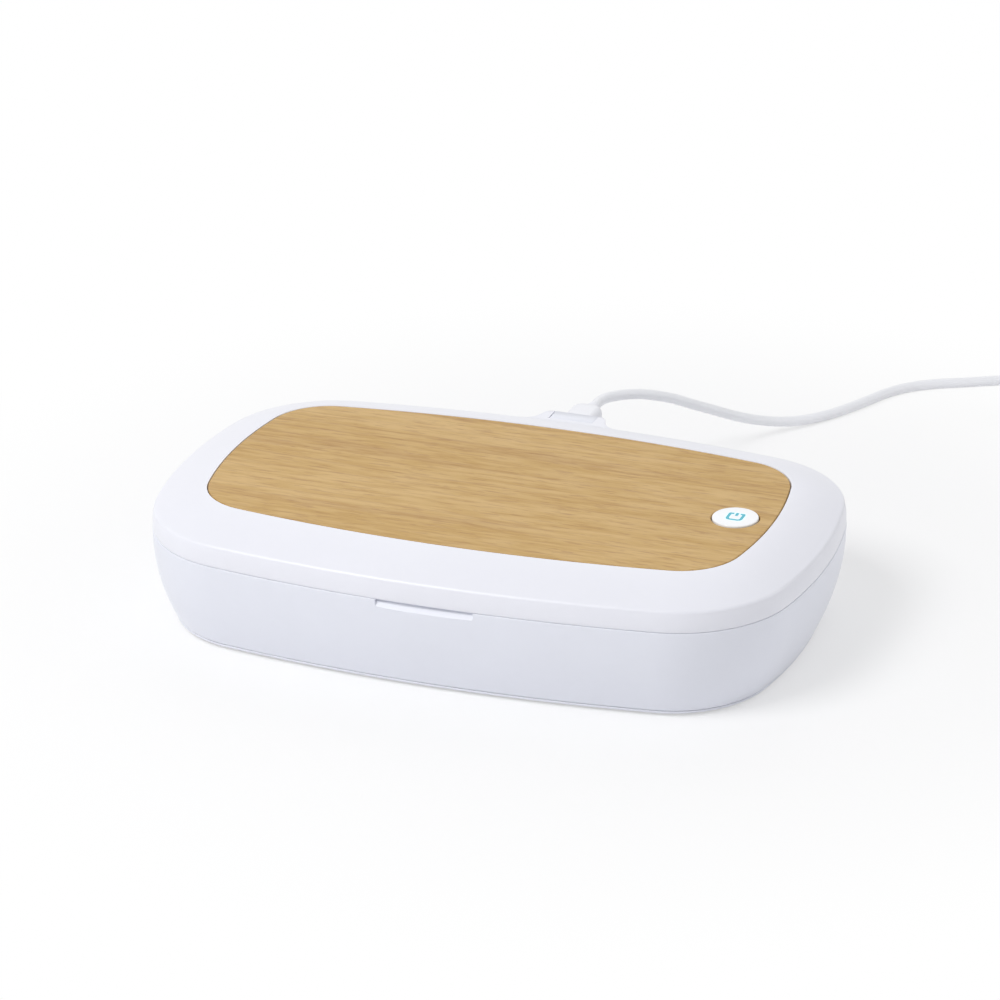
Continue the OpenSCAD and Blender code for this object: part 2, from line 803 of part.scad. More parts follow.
// Route of the lead's middle line, from the strain relief down to the table and on to the coil
cord_points = [
    [0, 87, 33], [0, 91, 33], [0.6, 95, 32.8], [2.2, 100, 32], [4.8, 105.5, 30.8], [8, 111.5, 29],
    [12, 118, 26.3], [16, 124.5, 23], [20.5, 131, 19], [25.5, 138, 14.8], [30.5, 145, 10.6],
    [35.5, 152, 7], [40.5, 158.4, 4.4], [46, 164.8, 2.7], [51.5, 171.4, 2], [56.5, 178.4, 1.8],
    [61, 186, 1.8], [65, 193.8, 1.8], [69, 201.6, 1.8], [74.5, 208.4, 1.8], [82, 214, 1.8],
    [91, 218.6, 1.8], [100, 223.2, 1.8], [108.5, 227, 1.95], [117, 229.8, 2.2], [125, 231.4, 2.3]
];
// The strap's thickness lifts the coil a little off the table
tie_t = 0.5;
coil_at = [142, 208];
coil_r = 26;
coil_start = 100;
coil_low = cord_d / 2 + tie_t + 0.05;
coil_step = 4;
coil_end_z = 4;
coil_in = coil_r - coil_pitch * coil_turns;
out_turns = coil_turns - 80 / 360;
exit_r = coil_in + coil_pitch * out_turns;
lead_in = 5;
coil_entry = coil_at + coil_r * [cos(coil_start), sin(coil_start)]
    - lead_in * [sin(coil_start), -cos(coil_start)];

function polar(r, a, z) = [coil_at.x + r * cos(a), coil_at.y + r * sin(a), z];

// Straight in, a spiral to the middle, a climb, a spiral out above it, and a straight way down
steps = 24;
coil_points = concat(
    [[coil_entry.x, coil_entry.y, coil_low]],
    [for (i = [0:coil_turns * steps]) let (t = i / steps)
        polar(coil_r - coil_pitch * t, coil_start - 360 * t, coil_low)],
    [for (i = [1:steps / 2 - 1]) let (t = 2 * i / steps)
        polar(coil_in - 0.6 * sin(180 * t), coil_start - 180 * t, coil_low + coil_step * t)],
    [for (i = [0:floor(out_turns * steps)]) let (t = i / steps)
        polar(coil_in + coil_pitch * t, coil_start - 180 - 360 * t, coil_low + coil_step)],
    [for (s = [[0, 1], [9, 1], [14, 1], [19, 0.75], [23, 0.25], [27, 0], [32, 0]])
        [coil_at.x + exit_r, coil_at.y - s.x, coil_end_z + (coil_low + coil_step - coil_end_z) * s.y]]);
far_x = coil_at.x + exit_r;
far_y = coil_at.y - 32;

// Direction of a line of points at i, and a frame that stays upright along it
function unit(v) = v / norm(v);
function heading(p, i) = unit(p[min(i + 1, len(p) - 1)] - p[max(i - 1, 0)]);
function sweep_ring(p, i, r, sides) =
    let (t = heading(p, i), s = unit(cross(t, [0, 0, 1])), u = cross(t, s))
    [for (k = [0:sides - 1]) let (a = 360 * (k + 0.5) / sides) p[i] + r * (cos(a) * s + sin(a) * u)];

module swept(p, r, sides) {
    capped_loft([for (i = [0:len(p) - 1]) sweep_ring(p, i, r, sides)]);
}

// Least distance of the coil to itself, between stretches that aren't neighbours along it
function coil_gap() =
    min([for (i = [0:2:len(coil_points) - 1], j = [i + 8:1:len(coil_points) - 1])
        norm(coil_points[i] - coil_points[j])]) - cord_d;

module cord_run() {
    color(white) swept(concat(cord_points, [[coil_entry.x, coil_entry.y, coil_low]]), cord_d / 2, 8);
}

module cord_coil() {
    echo(least_gap_mm = coil_gap());
    color(white) swept(coil_points, cord_d / 2, 6);
}

// Soft strap round the turns: a flat loop across them, with its overlapping end on top
tie_w = 6;
tie_a = 200;
tie_in = 12.5;
tie_out = 25.2;
tie_corner = 1.4;
tie_h = coil_low + coil_step + cord_d / 2 + 0.1 + tie_t;
module coil_tie() {
    l = tie_out - tie_in + 2 * tie_t;
    lap = l * 0.4;
    color(smoke) translate([coil_at.x, coil_at.y, 0]) rotate(tie_a)
        translate([tie_in - tie_t, tie_w / 2, 0]) rotate([90, 0, 0]) linear_extrude(tie_w) difference() {
            union() {
                translate([l / 2, tie_h / 2]) rounded(l, tie_h, tie_corner);
                translate([l - 1.5 * lap, tie_h - tie_t]) square([lap, tie_t * 2]);
            }
            translate([l / 2, tie_h / 2]) rounded(l - 2 * tie_t, tie_h - 2 * tie_t, tie_corner - tie_t);
        }
}

far_relief_l = 9;

module far_relief() {
    color(white) translate([far_x, far_y - far_relief_l, coil_end_z]) relief(far_relief_l, 2.9, relief_tip);
}

far_w = 15.8;
far_t = 7.8;
far_l = 21;
shell_l = 12;

module far_plug_body() {
    color(white) translate([far_x, far_y - far_relief_l - far_l, coil_end_z]) grip([
        [far_w - 0.8, far_t - 0.8, 1.6, 0], [far_w, far_t, 2, 0.5], [far_w, far_t, 2.2, far_l - 5],
        [far_w - 1, far_t - 0.3, 2.8, far_l - 2], [far_w - 3, far_t - 1, 3, far_l - 0.6],
        [far_w - 5, far_t - 1.8, 2.8, far_l]]);
}

shell_w = 12;
shell_h = 4.5;
shell_t = 0.3;
latch_x = 2.9;
latch_y = 4.5;
latch_w = 2;
latch_l = 2.2;

// Drawn rectangular shell with two latch windows in each broad side
module far_plug_shell() {
    color(steel) translate([far_x, far_y - far_relief_l - far_l - shell_l, coil_end_z]) difference() {
        rotate([-90, 0, 0]) linear_extrude(shell_l) square([shell_w, shell_h], center = true);
        translate([0, -1, 0]) rotate([-90, 0, 0]) linear_extrude(shell_l)
            square([shell_w - 2 * shell_t, shell_h - 2 * shell_t], center = true);
        for (s = [-1, 1]) translate([s * latch_x, latch_y, 0])
            cube([latch_w, latch_l, 2 * shell_h], center = true);
    }
}

// Insulating tongue that carries the far plug's contacts
module far_plug_tongue() {
    x = shell_w / 2 - shell_t - 0.1;
    color(smoke) translate([far_x, far_y - far_relief_l - far_l, coil_end_z])
        block(-x, x, 1.2 - shell_l, -1, shell_t - shell_h / 2, 0);
}

base_shell();
bottom_cover();
rubber_feet();
bottom_screws();
liner_tray();
lower_windows();
lower_uv_leds();
base_board();
board_screws();
usb_receptacle();
port_board();
hinge_pins();
base_magnets();
lid_sensor();
lid_bumpers();
lid_shell();
wood_plate();
plate_adhesive();
inner_cover();
lid_seal();
lid_screws();
upper_windows();
upper_uv_leds();
upper_led_boards();
lid_board();
lid_board_screws();
charging_coil();
ferrite_sheet();
tact_switch();
status_leds();
lid_magnets();
button_cap();
icon_light_guide();
switch_plunger();
plug_body();
plug_nose();
strain_relief();
cord_run();
cord_coil();
coil_tie();
far_relief();
far_plug_body();
far_plug_shell();
far_plug_tongue();
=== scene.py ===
"""Looks of an oval sanitizer box whose hinged lid carries a wooden charging plate.

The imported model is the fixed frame. Sizes inside the classes are in millimetres, in the frame's own
axes: +X along the box towards the button, +Y to the rear where the cord plugs in, +Z up.
"""

import logging
from dataclasses import dataclass
from enum import Enum
from math import acos, asin, atan2, cos, dist, pi, radians, sin, sqrt, tan
from typing import Callable, Iterable, Sequence

import bmesh
import bpy
from mathutils import Matrix, Vector


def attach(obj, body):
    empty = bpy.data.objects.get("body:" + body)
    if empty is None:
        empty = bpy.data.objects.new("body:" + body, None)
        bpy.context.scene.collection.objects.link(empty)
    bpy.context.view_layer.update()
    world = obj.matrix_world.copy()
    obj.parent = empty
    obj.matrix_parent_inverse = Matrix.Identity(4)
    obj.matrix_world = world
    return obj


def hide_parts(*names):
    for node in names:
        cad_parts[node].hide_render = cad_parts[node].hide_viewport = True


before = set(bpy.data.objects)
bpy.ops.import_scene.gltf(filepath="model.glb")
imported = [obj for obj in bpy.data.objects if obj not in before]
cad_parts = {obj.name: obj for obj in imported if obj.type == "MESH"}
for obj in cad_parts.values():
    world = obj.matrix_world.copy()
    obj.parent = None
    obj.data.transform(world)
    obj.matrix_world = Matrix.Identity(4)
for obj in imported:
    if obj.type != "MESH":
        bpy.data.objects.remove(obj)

LOG = logging.getLogger("sanitizer_box")
MM = 0.001
TURN = 2 * pi

Point = tuple[float, float, float]
Flat = tuple[float, float]
Colour = tuple[float, float, float]
Ring = list[Point]
Place = Callable[[float, float, float], Point]
Piece = bpy.types.Object
Material = bpy.types.Material
Tree = bpy.types.NodeTree
Node = bpy.types.Node
Socket = bpy.types.NodeSocket
Sockets = bpy.types.bpy_prop_collection
Inputs = dict[str | int, object]


class Body(Enum):
    """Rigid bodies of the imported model."""

    BASE = "base"
    LID = "lid"
    BUTTON = "button"


class Slot(Enum):
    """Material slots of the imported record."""

    PEARL = "pearl_plastic"
    WHITE = "white_plastic"
    WOOD = "maple_wood"
    LIT = "indicator"
    CORD = "cord_white"
    RUBBER = "foot_rubber"


class Joining(Enum):
    """Ways in which one solid works on another."""

    CUT = "DIFFERENCE"
    ADD = "UNION"
    CROP = "INTERSECT"


# ---------- curves and meshes ----------


def around(radius: float, turn: float, centre: Flat = (0.0, 0.0)) -> Flat:
    """Returns the point of a circle at a turn in radians."""
    return centre[0] + radius * cos(turn), centre[1] + radius * sin(turn)


def lengthwise(y: float, z: float) -> Place:
    """Returns how a section of depth and height is set about a line along X."""
    return lambda u, v, w: (w, y + u, z + v)


def soften(corners: Sequence[Point], steps: int = 6) -> list[Flat]:
    """Rounds the corners of an open line.

    Args:
        corners: Points as (u, v, radius); a radius of 0 keeps the corner sharp.
        steps: Segments of each rounding.

    Returns:
        The line's points, with a short curve in place of each rounded corner.
    """
    side_share = 0.49
    line: list[Flat] = []
    for i, (u, v, radius) in enumerate(corners):
        if radius <= 0 or i in (0, len(corners) - 1):
            line.append((u, v))
            continue
        here = Vector((u, v))
        before, after = (Vector(corners[k][:2]) - here for k in (i - 1, i + 1))
        reach = min(radius, before.length * side_share, after.length * side_share)
        start, end = (here + way.normalized() * reach for way in (before, after))
        for k in range(steps + 1):
            t = k / steps
            line.append(tuple(start * (1 - t) ** 2 + here * 2 * t * (1 - t) + end * t**2))
    return line


def flowing(points: Sequence[Sequence[float]], between: int = 4) -> list[tuple[float, ...]]:
    """Runs a smooth Catmull-Rom line through points.

    Args:
        points: The points that the line passes through.
        between: Segments from each point to the next.

    Returns:
        The line's points, the first and last included.
    """
    held = [Vector(p) for p in points]
    held = [held[0] * 2 - held[1], *held, held[-1] * 2 - held[-2]]
    line: list[tuple[float, ...]] = []
    for a, b, c, d in zip(held, held[1:], held[2:], held[3:]):
        first, second, third = c - a, a * 2 - b * 5 + c * 4 - d, b * 3 - a - c * 3 + d
        for k in range(between):
            t = k / between
            line.append(tuple((b * 2 + first * t + second * t**2 + third * t**3) / 2))
    return [*line, tuple(held[-2])]


def shade(mesh: bpy.types.Mesh, sharp: float) -> None:
    """Shades a mesh smooth, apart from its edges sharper than an angle in degrees."""
    mesh.polygons.foreach_set("use_smooth", [True] * len(mesh.polygons))
    mesh.set_sharp_from_angle(angle=radians(sharp))


def mesh_piece(
    name: str, points: Iterable[Point], faces: Iterable[Sequence[int]], sharp: float = 35
) -> Piece:
    """Makes an object from points in millimetres.

    Args:
        name: Name of the piece.
        points: Its points, in millimetres.
        faces: Its faces, as indices of points.
        sharp: Edges that turn more than this many degrees are shaded sharp.

    Returns:
        The new object, with doubled points joined and all faces outward.
    """
    mesh = bpy.data.meshes.new(name)
    mesh.from_pydata([Vector(p) * MM for p in points], [], [tuple(f) for f in faces])
    work = bmesh.new()
    work.from_mesh(mesh)
    bmesh.ops.remove_doubles(work, verts=work.verts, dist=1e-7)
    bmesh.ops.recalc_face_normals(work, faces=work.faces)
    work.to_mesh(mesh)
    work.free()
    mesh.validate()
    shade(mesh, sharp)
    piece = bpy.data.objects.new(name, mesh)
    bpy.context.scene.collection.objects.link(piece)
    return piece


def loft(name: str, rings: Sequence[Ring], closed: bool = False, sharp: float = 35) -> Piece:
    """Skins rings of equal length.

    Args:
        name: Name of the piece.
        rings: Rings of points in millimetres, in order.
        closed: True joins the last ring to the first; False caps both ends.
        sharp: Edges that turn more than this many degrees are shaded sharp.

    Returns:
        The new object.
    """
    count, rows = len(rings[0]), len(rings)
    faces: list[Sequence[int]] = []
    for i in range(rows if closed else rows - 1):
        low, high = i * count, ((i + 1) % rows) * count
        for j in range(count):
            k = (j + 1) % count
            faces.append((low + j, low + k, high + k, high + j))
    if not closed:
        faces.append(tuple(range(count - 1, -1, -1)))
        faces.append(tuple(range((rows - 1) * count, rows * count)))
    return mesh_piece(name, [p for ring in rings for p in ring], faces, sharp)


def lathe(name: str, profile: Sequence[Flat], foot: Point, sides: int = 96) -> Piece:
    """Returns a profile of (radius, height) points, bottom first, turned about an upright at a foot."""
    turns = [TURN * k / sides for k in range(sides)]
    return loft(name, [[(*around(r, t, foot[:2]), foot[2] + z) for t in turns] for r, z in profile])


def prism(name: str, section: Sequence[Flat], place: Place, start: float, end: float) -> Piece:
    """Returns a flat section pulled straight from one distance to another, as place sets it."""
    return loft(name, [[place(u, v, w) for u, v in section] for w in (start, end)], sharp=30)


def settle(piece: Piece, sharp: float) -> None:
    """Turns a piece's modifiers into its own mesh, and shades it again.

    Args:
        piece: The piece.
        sharp: Edges that turn more than this many degrees are shaded sharp.
    """
    graph = bpy.context.evaluated_depsgraph_get()
    mesh = bpy.data.meshes.new_from_object(piece.evaluated_get(graph))
    piece.modifiers.clear()
    piece.data = mesh
    shade(mesh, sharp)


def combine(piece: Piece, tool: Piece, joining: Joining = Joining.CUT, sharp: float = 35) -> None:
    """Cuts, joins or crops a piece by a tool, which is used up.

    Args:
        piece: The piece that stays.
        tool: The other solid.
        joining: How the tool works on the piece.
        sharp: Edges that turn more than this many degrees are shaded sharp.
    """
    change = piece.modifiers.new("combine", "BOOLEAN")
    change.operation = joining.value
    change.solver = "EXACT"
    change.object = tool
    settle(piece, sharp)
    bpy.data.objects.remove(tool)


def round_edges(piece: Piece, width: float, sharp: float = 35) -> None:
    """Rounds a piece's sharp edges.

    Args:
        piece: The piece.
        width: Width of the rounding, in millimetres.
        sharp: Edges that turn more than this many degrees are rounded.
    """
    change = piece.modifiers.new("edges", "BEVEL")
    change.width = width * MM
    change.segments = 3
    change.limit_method = "ANGLE"
    change.angle_limit = radians(sharp)
    settle(piece, sharp)


# ---------- shader building ----------


class Nodes:
    """Small hand for building one node tree."""

    def __init__(self, tree: Tree) -> None:
        """Takes the tree that the nodes go into."""
        self.tree = tree

    def feed(self, node: Node, inputs: Inputs) -> None:
        """Sets or links inputs of a node.

        Args:
            node: The node.
            inputs: Values, or sockets to link, by the input's name or number.
        """
        for key, value in inputs.items():
            if isinstance(value, bpy.types.NodeSocket):
                self.tree.links.new(value, node.inputs[key])
            else:
                node.inputs[key].default_value = value

    def add(self, kind: str, inputs: Inputs | None = None, **settings: object) -> Node:
        """Adds a node.

        Args:
            kind: The node's type name.
            inputs: Values, or sockets to link, by the input's name or number.
            **settings: Attributes of the node itself.

        Returns:
            The new node.
        """
        node = self.tree.nodes.new(kind)
        for name, value in settings.items():
            setattr(node, name, value)
        self.feed(node, inputs or {})
        return node

    def effect(self, tree: Tree, inputs: Inputs) -> Sockets:
        """Places a shared effect and returns what it puts out."""
        return self.add("ShaderNodeGroup", inputs, node_tree=tree).outputs

    def maths(self, operation: str, *values: object) -> Socket:
        """Returns the result of a Math node on numbers or sockets."""
        return self.add("ShaderNodeMath", dict(enumerate(values)), operation=operation).outputs[0]

    def blend(self, factor: object, first: object, second: object) -> Socket:
        """Returns a colour mixed from two, by a factor."""
        return self.add("ShaderNodeMix", {0: factor, 6: first, 7: second}, data_type="RGBA").outputs[2]

    def ramp(
        self, value: object, low: float, high: float, out_low: float = 0.0, out_high: float = 1.0
    ) -> Socket:
        """Returns a value carried smoothly from one range to another."""
        ranges = {"Value": value, "From Min": low, "From Max": high, "To Min": out_low, "To Max": out_high}
        return self.add("ShaderNodeMapRange", ranges, interpolation_type="SMOOTHSTEP").outputs[0]

    def noise(self, vector: object, scale: object, detail: float = 3.0) -> Socket:
        """Returns a noise value at a point."""
        return self.add("ShaderNodeTexNoise", {"Vector": vector, "Scale": scale, "Detail": detail}).outputs[0]

    def own(self) -> Socket:
        """Returns the piece's own coordinates."""
        return self.add("ShaderNodeTexCoord").outputs["Object"]

    def scaled(self, vector: Socket, size: object, shift: Point = (0, 0, 0)) -> Socket:
        """Returns coordinates scaled and shifted."""
        return self.add("ShaderNodeMapping", {"Vector": vector, "Scale": size, "Location": shift}).outputs[0]


def new_group(name: str, inputs: dict[str, str], outputs: dict[str, str]) -> tuple[Nodes, Sockets, Node]:
    """Starts a shader node group.

    Args:
        name: Name of the group.
        inputs: Kinds of its inputs, by name.
        outputs: Kinds of its outputs, by name.

    Returns:
        The hand that builds it, what comes into it, and its output node.
    """
    tree = bpy.data.node_groups.new(name, "ShaderNodeTree")
    for way, sockets in (("INPUT", inputs), ("OUTPUT", outputs)):
        for label, kind in sockets.items():
            tree.interface.new_socket(label, in_out=way, socket_type=f"NodeSocket{kind}")
    hand = Nodes(tree)
    return hand, hand.add("NodeGroupInput").outputs, hand.add("NodeGroupOutput")


class Effects:
    """Effects that several finishes share, each a node group made once."""

    def __init__(self) -> None:
        """Builds the groups."""
        self.moulding = self._moulding()
        self.handling = self._handling()
        self.grain = self._grain()
        self.brushing = self._brushing()

    def _moulding(self) -> Tree:
        """Builds the fine spark texture and slow waves of a moulded surface.

        Returns:
            The group.
        """
        inputs = {"Cell": "Float", "Waves": "Float"}
        hand, given, out = new_group("moulded_texture", inputs, {"Height": "Float"})
        where = hand.own()
        waves = hand.maths("MULTIPLY", hand.noise(where, 28.0, 1.0), given["Waves"])
        hand.feed(out, {"Height": hand.maths("ADD", hand.noise(where, given["Cell"], 2.0), waves)})
        return hand.tree

    def _handling(self) -> Tree:
        """Builds the faint marks that use leaves, as a tinted colour and a changed gloss.

        Returns:
            The group.
        """
        hand, given, out = new_group(
            "handling_marks",
            {"Colour": "Color", "Marked": "Color", "Amount": "Float", "Gloss": "Float", "Spread": "Float"},
            {"Colour": "Color", "Roughness": "Float"},
        )
        where = hand.own()
        broad = hand.noise(hand.scaled(where, (1, 1, 1), (3.1, 1.7, 0.4)), 22.0, 4.0)
        small = hand.noise(hand.scaled(where, (1, 1, 1), (0.3, 2.2, 5.1)), 310.0)
        patch = hand.ramp(hand.maths("MULTIPLY_ADD", small, 0.25, broad), 0.48, 0.82)
        mask = hand.maths("MULTIPLY", patch, given["Amount"])
        change = hand.maths("MULTIPLY", hand.maths("SUBTRACT", broad, 0.5), given["Spread"])
        colour = hand.blend(mask, given["Colour"], given["Marked"])
        hand.feed(out, {"Colour": colour, "Roughness": hand.maths("ADD", given["Gloss"], change)})
        return hand.tree

    def _grain(self) -> Tree:
        """Builds straight wood grain along X: soft bands, streaks, thin growth lines and short pores.

        Returns:
            The group.
        """
        hand, given, out = new_group(
            "straight_grain",
            {"Pale": "Color", "Warm": "Color", "Dark": "Color"},
            {"Colour": "Color", "Roughness": "Float", "Height": "Float"},
        )
        where = hand.own()
        drift = hand.noise(hand.scaled(where, (9, 22, 9)), 1.0, 2.0)
        split = hand.add("ShaderNodeSeparateXYZ", {0: where}).outputs
        across = hand.maths("MULTIPLY_ADD", drift, 0.003, split[1])
        line = hand.add("ShaderNodeCombineXYZ", {0: split[0], 1: across, 2: split[2]}).outputs[0]

        def layer(size: Point, shift: Point, detail: float = 2.0) -> Socket:
            """Returns noise drawn out along the grain."""
            return hand.noise(hand.scaled(line, size, shift), 1.0, detail)

        bands = hand.ramp(layer((6, 95, 30), (0.4, 2.1, 0)), 0.35, 0.65)
        streaks = hand.ramp(layer((64, 560, 40), (1.3, 0.2, 0.9), 3.0), 0.36, 0.64)
        fibre = layer((120, 1500, 90), (0, 0, 0))
        contour = layer((3, 62, 20), (4.3, 2.9, 0.2), 1.0)
        growth = hand.ramp(hand.maths("ABSOLUTE", hand.maths("SUBTRACT", contour, 0.5)), 0.0, 0.03, 1.0, 0.0)
        vein = hand.ramp(layer((90, 760, 20), (7.1, 0.6, 0.2)), 0.56, 0.66)
        pores = hand.ramp(layer((210, 2400, 60), (2.2, 0.1, 0), 1.0), 0.60, 0.70)
        tone = hand.maths("MULTIPLY_ADD", bands, 0.38, hand.maths("MULTIPLY", streaks, 0.62))
        colour = hand.blend(tone, given["Pale"], given["Warm"])
        for mask, share in ((growth, 0.26), (vein, 0.34), (pores, 0.40)):
            colour = hand.blend(hand.maths("MULTIPLY", mask, share), colour, given["Dark"])
        colour = hand.blend(hand.ramp(fibre, 0.40, 0.72, 0.0, 0.40), colour, given["Pale"])
        height = hand.maths("SUBTRACT", hand.maths("MULTIPLY", fibre, 0.5), pores)
        hand.feed(out, {"Colour": colour, "Roughness": hand.ramp(tone, 0, 1, 0.46, 0.54), "Height": height})
        return hand.tree

    def _brushing(self) -> Tree:
        """Builds the fine drawn lines of a worked metal sheet.

        Returns:
            The group.
        """
        hand, given, out = new_group(
            "drawn_lines", {"Along": "Vector", "Gloss": "Float"}, {"Roughness": "Float", "Height": "Float"}
        )
        where = hand.own()
        lines = hand.noise(hand.scaled(where, given["Along"]), 1.0)
        spread = hand.maths("MULTIPLY", hand.maths("SUBTRACT", hand.noise(where, 90.0, 2.0), 0.5), 0.16)
        hand.feed(out, {"Roughness": hand.maths("ADD", given["Gloss"], spread), "Height": lines})
        return hand.tree


@dataclass(frozen=True)
class Finish:
    """Base of every finish: a named material built from the shared effects."""

    name: str

    def start(self) -> tuple[Material, Nodes, Node]:
        """Starts the material.

        Returns:
            The empty material, its builder and its Principled shader.
        """
        material = bpy.data.materials.new(self.name)
        material.use_nodes = True
        material.node_tree.nodes.clear()
        hand = Nodes(material.node_tree)
        shader = hand.add("ShaderNodeBsdfPrincipled")
        hand.add("ShaderNodeOutputMaterial", {"Surface": shader.outputs[0]})
        return material, hand, shader

    def bump(self, hand: Nodes, shader: Node, height: Socket, depth: float) -> None:
        """Raises the surface by a height socket, depth millimetres at a height of 1."""
        node = hand.add("ShaderNodeBump", {"Height": height, "Distance": depth * MM, "Strength": 1.0})
        hand.feed(shader, {"Normal": node.outputs[0]})

    def make(self, effects: Effects) -> Material:
        """Returns the finished material."""
        raise NotImplementedError


@dataclass(frozen=True)
class Moulded(Finish):
    """Moulded plastic or rubber with a spark texture and faint handling marks."""

    colour: Colour
    marked: Colour
    gloss: float = 0.4
    spread: float = 0.08
    amount: float = 0.25
    cell: float = 2600.0
    depth: float = 0.006
    waves: float = 0.4
    coat: float = 0.0
    index: float = 1.49

    def moulded(self, effects: Effects) -> tuple[Material, Nodes, Node]:
        """Builds the moulded surface.

        Args:
            effects: The shared effects.

        Returns:
            The material, its builder and its Principled shader.
        """
        material, hand, shader = self.start()
        given = {"Colour": (*self.colour, 1), "Marked": (*self.marked, 1), "Amount": self.amount}
        marks = hand.effect(effects.handling, {**given, "Gloss": self.gloss, "Spread": self.spread})
        texture = hand.effect(effects.moulding, {"Cell": self.cell, "Waves": self.waves})
        hand.feed(shader, {"Base Color": marks["Colour"], "Roughness": marks["Roughness"]})
        hand.feed(shader, {"IOR": self.index, "Coat Weight": self.coat})
        self.bump(hand, shader, texture["Height"], self.depth)
        return material, hand, shader

    def make(self, effects: Effects) -> Material:
        """Returns the material."""
        return self.moulded(effects)[0]


@dataclass(frozen=True)
class Lit(Moulded):
    """Translucent plastic lit from below."""

    glow: Colour = (0.1, 0.7, 0.8)
    strength: float = 1.0

    def make(self, effects: Effects) -> Material:
        """Builds the material.

        Args:
            effects: The shared effects.

        Returns:
            The material.
        """
        material, hand, shader = self.moulded(effects)
        hand.feed(shader, {"Emission Color": (*self.glow, 1), "Emission Strength": self.strength})
        return material


@dataclass(frozen=True)
class Haloed(Moulded):
    """White cap plastic that glows faintly round a lit square mark.

    The glow is full at a distance of full from the mark's line, and ends at reach, in millimetres.
    Within that reach the glow is also painted into the cap's own colour, as painted glow.
    """

    centre: Flat = (0.0, 0.0)
    half: float = 2.3
    corner: float = 0.9
    reach: float = 1.3
    full: float = 0.2
    glow: Colour = (0.45, 0.92, 0.98)
    painted_glow_share: float = 0.40
    strength: float = 0.16

    def make(self, effects: Effects) -> Material:
        """Builds the material, with a halo by the distance from the mark's rounded square.

        Args:
            effects: The shared effects.

        Returns:
            The material.
        """
        material, hand, shader = self.moulded(effects)
        split = hand.add("ShaderNodeSeparateXYZ", {0: hand.own()}).outputs
        straight = (self.half - self.corner) * MM
        sides = []
        for axis in (0, 1):
            from_centre = hand.maths("SUBTRACT", split[axis], self.centre[axis] * MM)
            sides.append(hand.maths("SUBTRACT", hand.maths("ABSOLUTE", from_centre), straight))
        outside = [hand.maths("POWER", hand.maths("MAXIMUM", side, 0.0), 2.0) for side in sides]
        length = hand.maths("SQRT", hand.maths("ADD", *outside))
        inside = hand.maths("MINIMUM", hand.maths("MAXIMUM", *sides), 0.0)
        signed = hand.maths("SUBTRACT", hand.maths("ADD", length, inside), self.corner * MM)
        halo = hand.ramp(hand.maths("ABSOLUTE", signed), self.reach * MM, self.full * MM)
        glow, plain = (*self.glow, 1), shader.inputs["Base Color"].links[0].from_socket
        # painted glow: near the mark the cap's colour is blended towards the glow colour
        hand.feed(shader, {"Base Color": hand.blend(hand.maths("MULTIPLY", halo, self.painted_glow_share), plain, glow)})
        light = hand.blend(halo, (0, 0, 0, 1), glow)
        hand.feed(shader, {"Emission Color": light, "Emission Strength": self.strength})
        return material


@dataclass(frozen=True)
class Timber(Finish):
    """Oiled wood with straight grain along X."""

    pale: Colour = (0.60, 0.39, 0.142)
    warm: Colour = (0.485, 0.292, 0.082)
    dark: Colour = (0.315, 0.148, 0.045)
    depth: float = 0.012
    index: float = 1.47

    def make(self, effects: Effects) -> Material:
        """Builds the material.

        Args:
            effects: The shared effects.

        Returns:
            The material.
        """
        material, hand, shader = self.start()
        tones = {"Pale": (*self.pale, 1), "Warm": (*self.warm, 1), "Dark": (*self.dark, 1)}
        figure = hand.effect(effects.grain, tones)
        hand.feed(shader, {"Base Color": figure["Colour"], "Roughness": figure["Roughness"]})
        hand.feed(shader, {"IOR": self.index})
        self.bump(hand, shader, figure["Height"], self.depth)
        return material


@dataclass(frozen=True)
class Metal(Finish):
    """Drawn or plated metal."""

    colour: Colour = (0.62, 0.63, 0.65)
    marked: Colour = (0.48, 0.49, 0.50)
    gloss: float = 0.3
    along: Point = (400.0, 4000.0, 400.0)
    amount: float = 0.5
    depth: float = 0.003

    def make(self, effects: Effects) -> Material:
        """Builds the material.

        Args:
            effects: The shared effects.

        Returns:
            The material.
        """
        material, hand, shader = self.start()
        lines = hand.effect(effects.brushing, {"Along": self.along, "Gloss": self.gloss})
        given = {"Colour": (*self.colour, 1), "Marked": (*self.marked, 1), "Amount": self.amount}
        marks = hand.effect(effects.handling, given)
        hand.feed(shader, {"Base Color": marks["Colour"], "Roughness": lines["Roughness"], "Metallic": 1.0})
        self.bump(hand, shader, lines["Height"], self.depth)
        return material


@dataclass(frozen=True)
class Clear(Finish):
    """Clear glass or lens, with a faint film of dust."""

    colour: Colour = (0.90, 0.94, 1.0)
    gloss: float = 0.04
    spread: float = 0.08
    index: float = 1.46

    def make(self, effects: Effects) -> Material:
        """Builds the material.

        Args:
            effects: The shared effects.

        Returns:
            The material.
        """
        material, hand, shader = self.start()
        film = hand.effect(effects.handling, {"Gloss": self.gloss, "Spread": self.spread})
        hand.feed(shader, {"Base Color": (*self.colour, 1), "Roughness": film["Roughness"]})
        hand.feed(shader, {"Transmission Weight": 1.0, "IOR": self.index})
        return material


